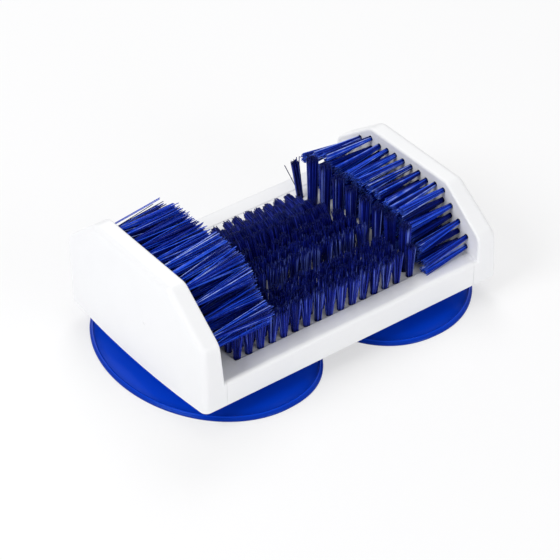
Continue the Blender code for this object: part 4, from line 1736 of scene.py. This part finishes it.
# Right tufts out of line: column, row, shifts along Y and Z, shares aside and up, and extra length
RIGHT_BENDS = (
    Bend(4, 4, 0.0008, -0.0004, -0.02, 0.03, 0.0015),
    Bend(3, 4, 0.0, -0.0015, -0.07, -0.02),
    Bend(2, 4, 0.0, -0.0006, -0.03, 0.0),
    Bend(5, 3, 0.0033, 0.0015, 0.02, -0.01, 0.0015),
    Bend(5, 2, 0.0, 0.0, 0.04, 0.02),
    Bend(6, 2, 0.0040, 0.0010, 0.05, 0.03, 0.0032),
    Bend(7, 1, 0.0, 0.0, -0.20, 0.0),
    Bend(7, 0, 0.0, 0.0, -0.22, 0.0),
    Bend(6, 1, 0.0, 0.0, -0.08, 0.0),
    Bend(-3, 4, 0.0006, -0.0016, 0.0, 0.0),
    Bend(-7, 2, 0.0, 0.0, -0.03, -0.06),
    Bend(-8, 1, 0.0, 0.0, -0.05, -0.14),
    Bend(-8, 0, 0.0, 0.0, -0.06, -0.13, 0.0010),
)
# Stray filaments, each from its foot to its tip: behind the tall column, and at the left brush's back end
TALL_STRANDS = (
    ((0.0465, 0.050, 0.0346), (0.0393, 0.050, 0.0515)),
    ((0.0485, 0.049, 0.0300), (0.0475, 0.0495, 0.0535)),
    ((0.0490, 0.049, 0.0300), (0.0487, 0.0490, 0.0545)),
)
LEFT_STRANDS = (
    ((-0.0893, 0.0375, 0.0725), (-0.0547, 0.0380, 0.0760)),
    ((-0.0893, 0.0380, 0.0715), (-0.0552, 0.0384, 0.0757)),
    ((-0.0893, 0.0370, 0.0700), (-0.0528, 0.0380, 0.0732)),
    ((-0.0893, 0.0372, 0.0692), (-0.0514, 0.0380, 0.0717)),
    ((-0.0893, 0.0365, 0.0687), (-0.0505, 0.0380, 0.0706)),
)


def dress_kept_nodes(nodes: dict[str, bpy.types.Object], finishes: Finishes) -> None:
    """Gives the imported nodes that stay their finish.

    Args:
        nodes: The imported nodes.
        finishes: The brush's finishes.
    """
    for name, node in nodes.items():
        steel = "screw" in name or "washer" in name
        for slot in node.material_slots:
            slot.material = finishes.steel if steel else finishes.white


def main() -> None:
    """Builds the brush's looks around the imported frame."""
    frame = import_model()
    PhotoCamera().build()
    Studio().build()
    finishes = Finishes.make()
    sizes = BodySizes()
    left = EndBlock(
        "left",
        -1,
        sizes,
        height=0.0672,
        shoulder=0.0421,
        crest_half=0.0353,
        lean_degrees=2.1,
        face_bow=0.0034,
        foot_draft=0.0016,
    )
    right = EndBlock(
        "right",
        1,
        sizes,
        height=0.0522,
        shoulder=0.0300,
        crest_half=0.0344,
        lean_degrees=0.4,
        face_bow=0.0008,
        foot_flare=0.0031,
    )
    left_brush = SideBrush(
        left,
        first_row=0.0330,
        tuft_length=0.0393,
        tip_radius=0.0048,
        tip_wander=0.0009,
        filaments=52,
        filament_radius=0.00024,
        aside=0.04,
        front_rise=0.075,
        low_rise=-0.01,
        loose=LEFT_STRANDS,
    )
    right_brush = SideBrush(
        right,
        first_row=0.0198,
        tuft_length=0.0307,
        tip_radius=0.0029,
        tip_wander=0.0003,
        top_droop=0.09,
        bends=RIGHT_BENDS,
    )
    dress_kept_nodes(frame["nodes"], finishes)
    EndCasing(left, gate=(-0.0138, 0.0320)).build(finishes)
    EndCasing(right).build(finishes)
    FloorBrush(sizes).build(finishes)
    for brush in (left_brush, right_brush):
        brush.build(finishes)
    for name, side in (("left", -1), ("right", 1)):
        SuctionCup(name, side, sizes).build(finishes)


if __name__ == "__main__":
    main()
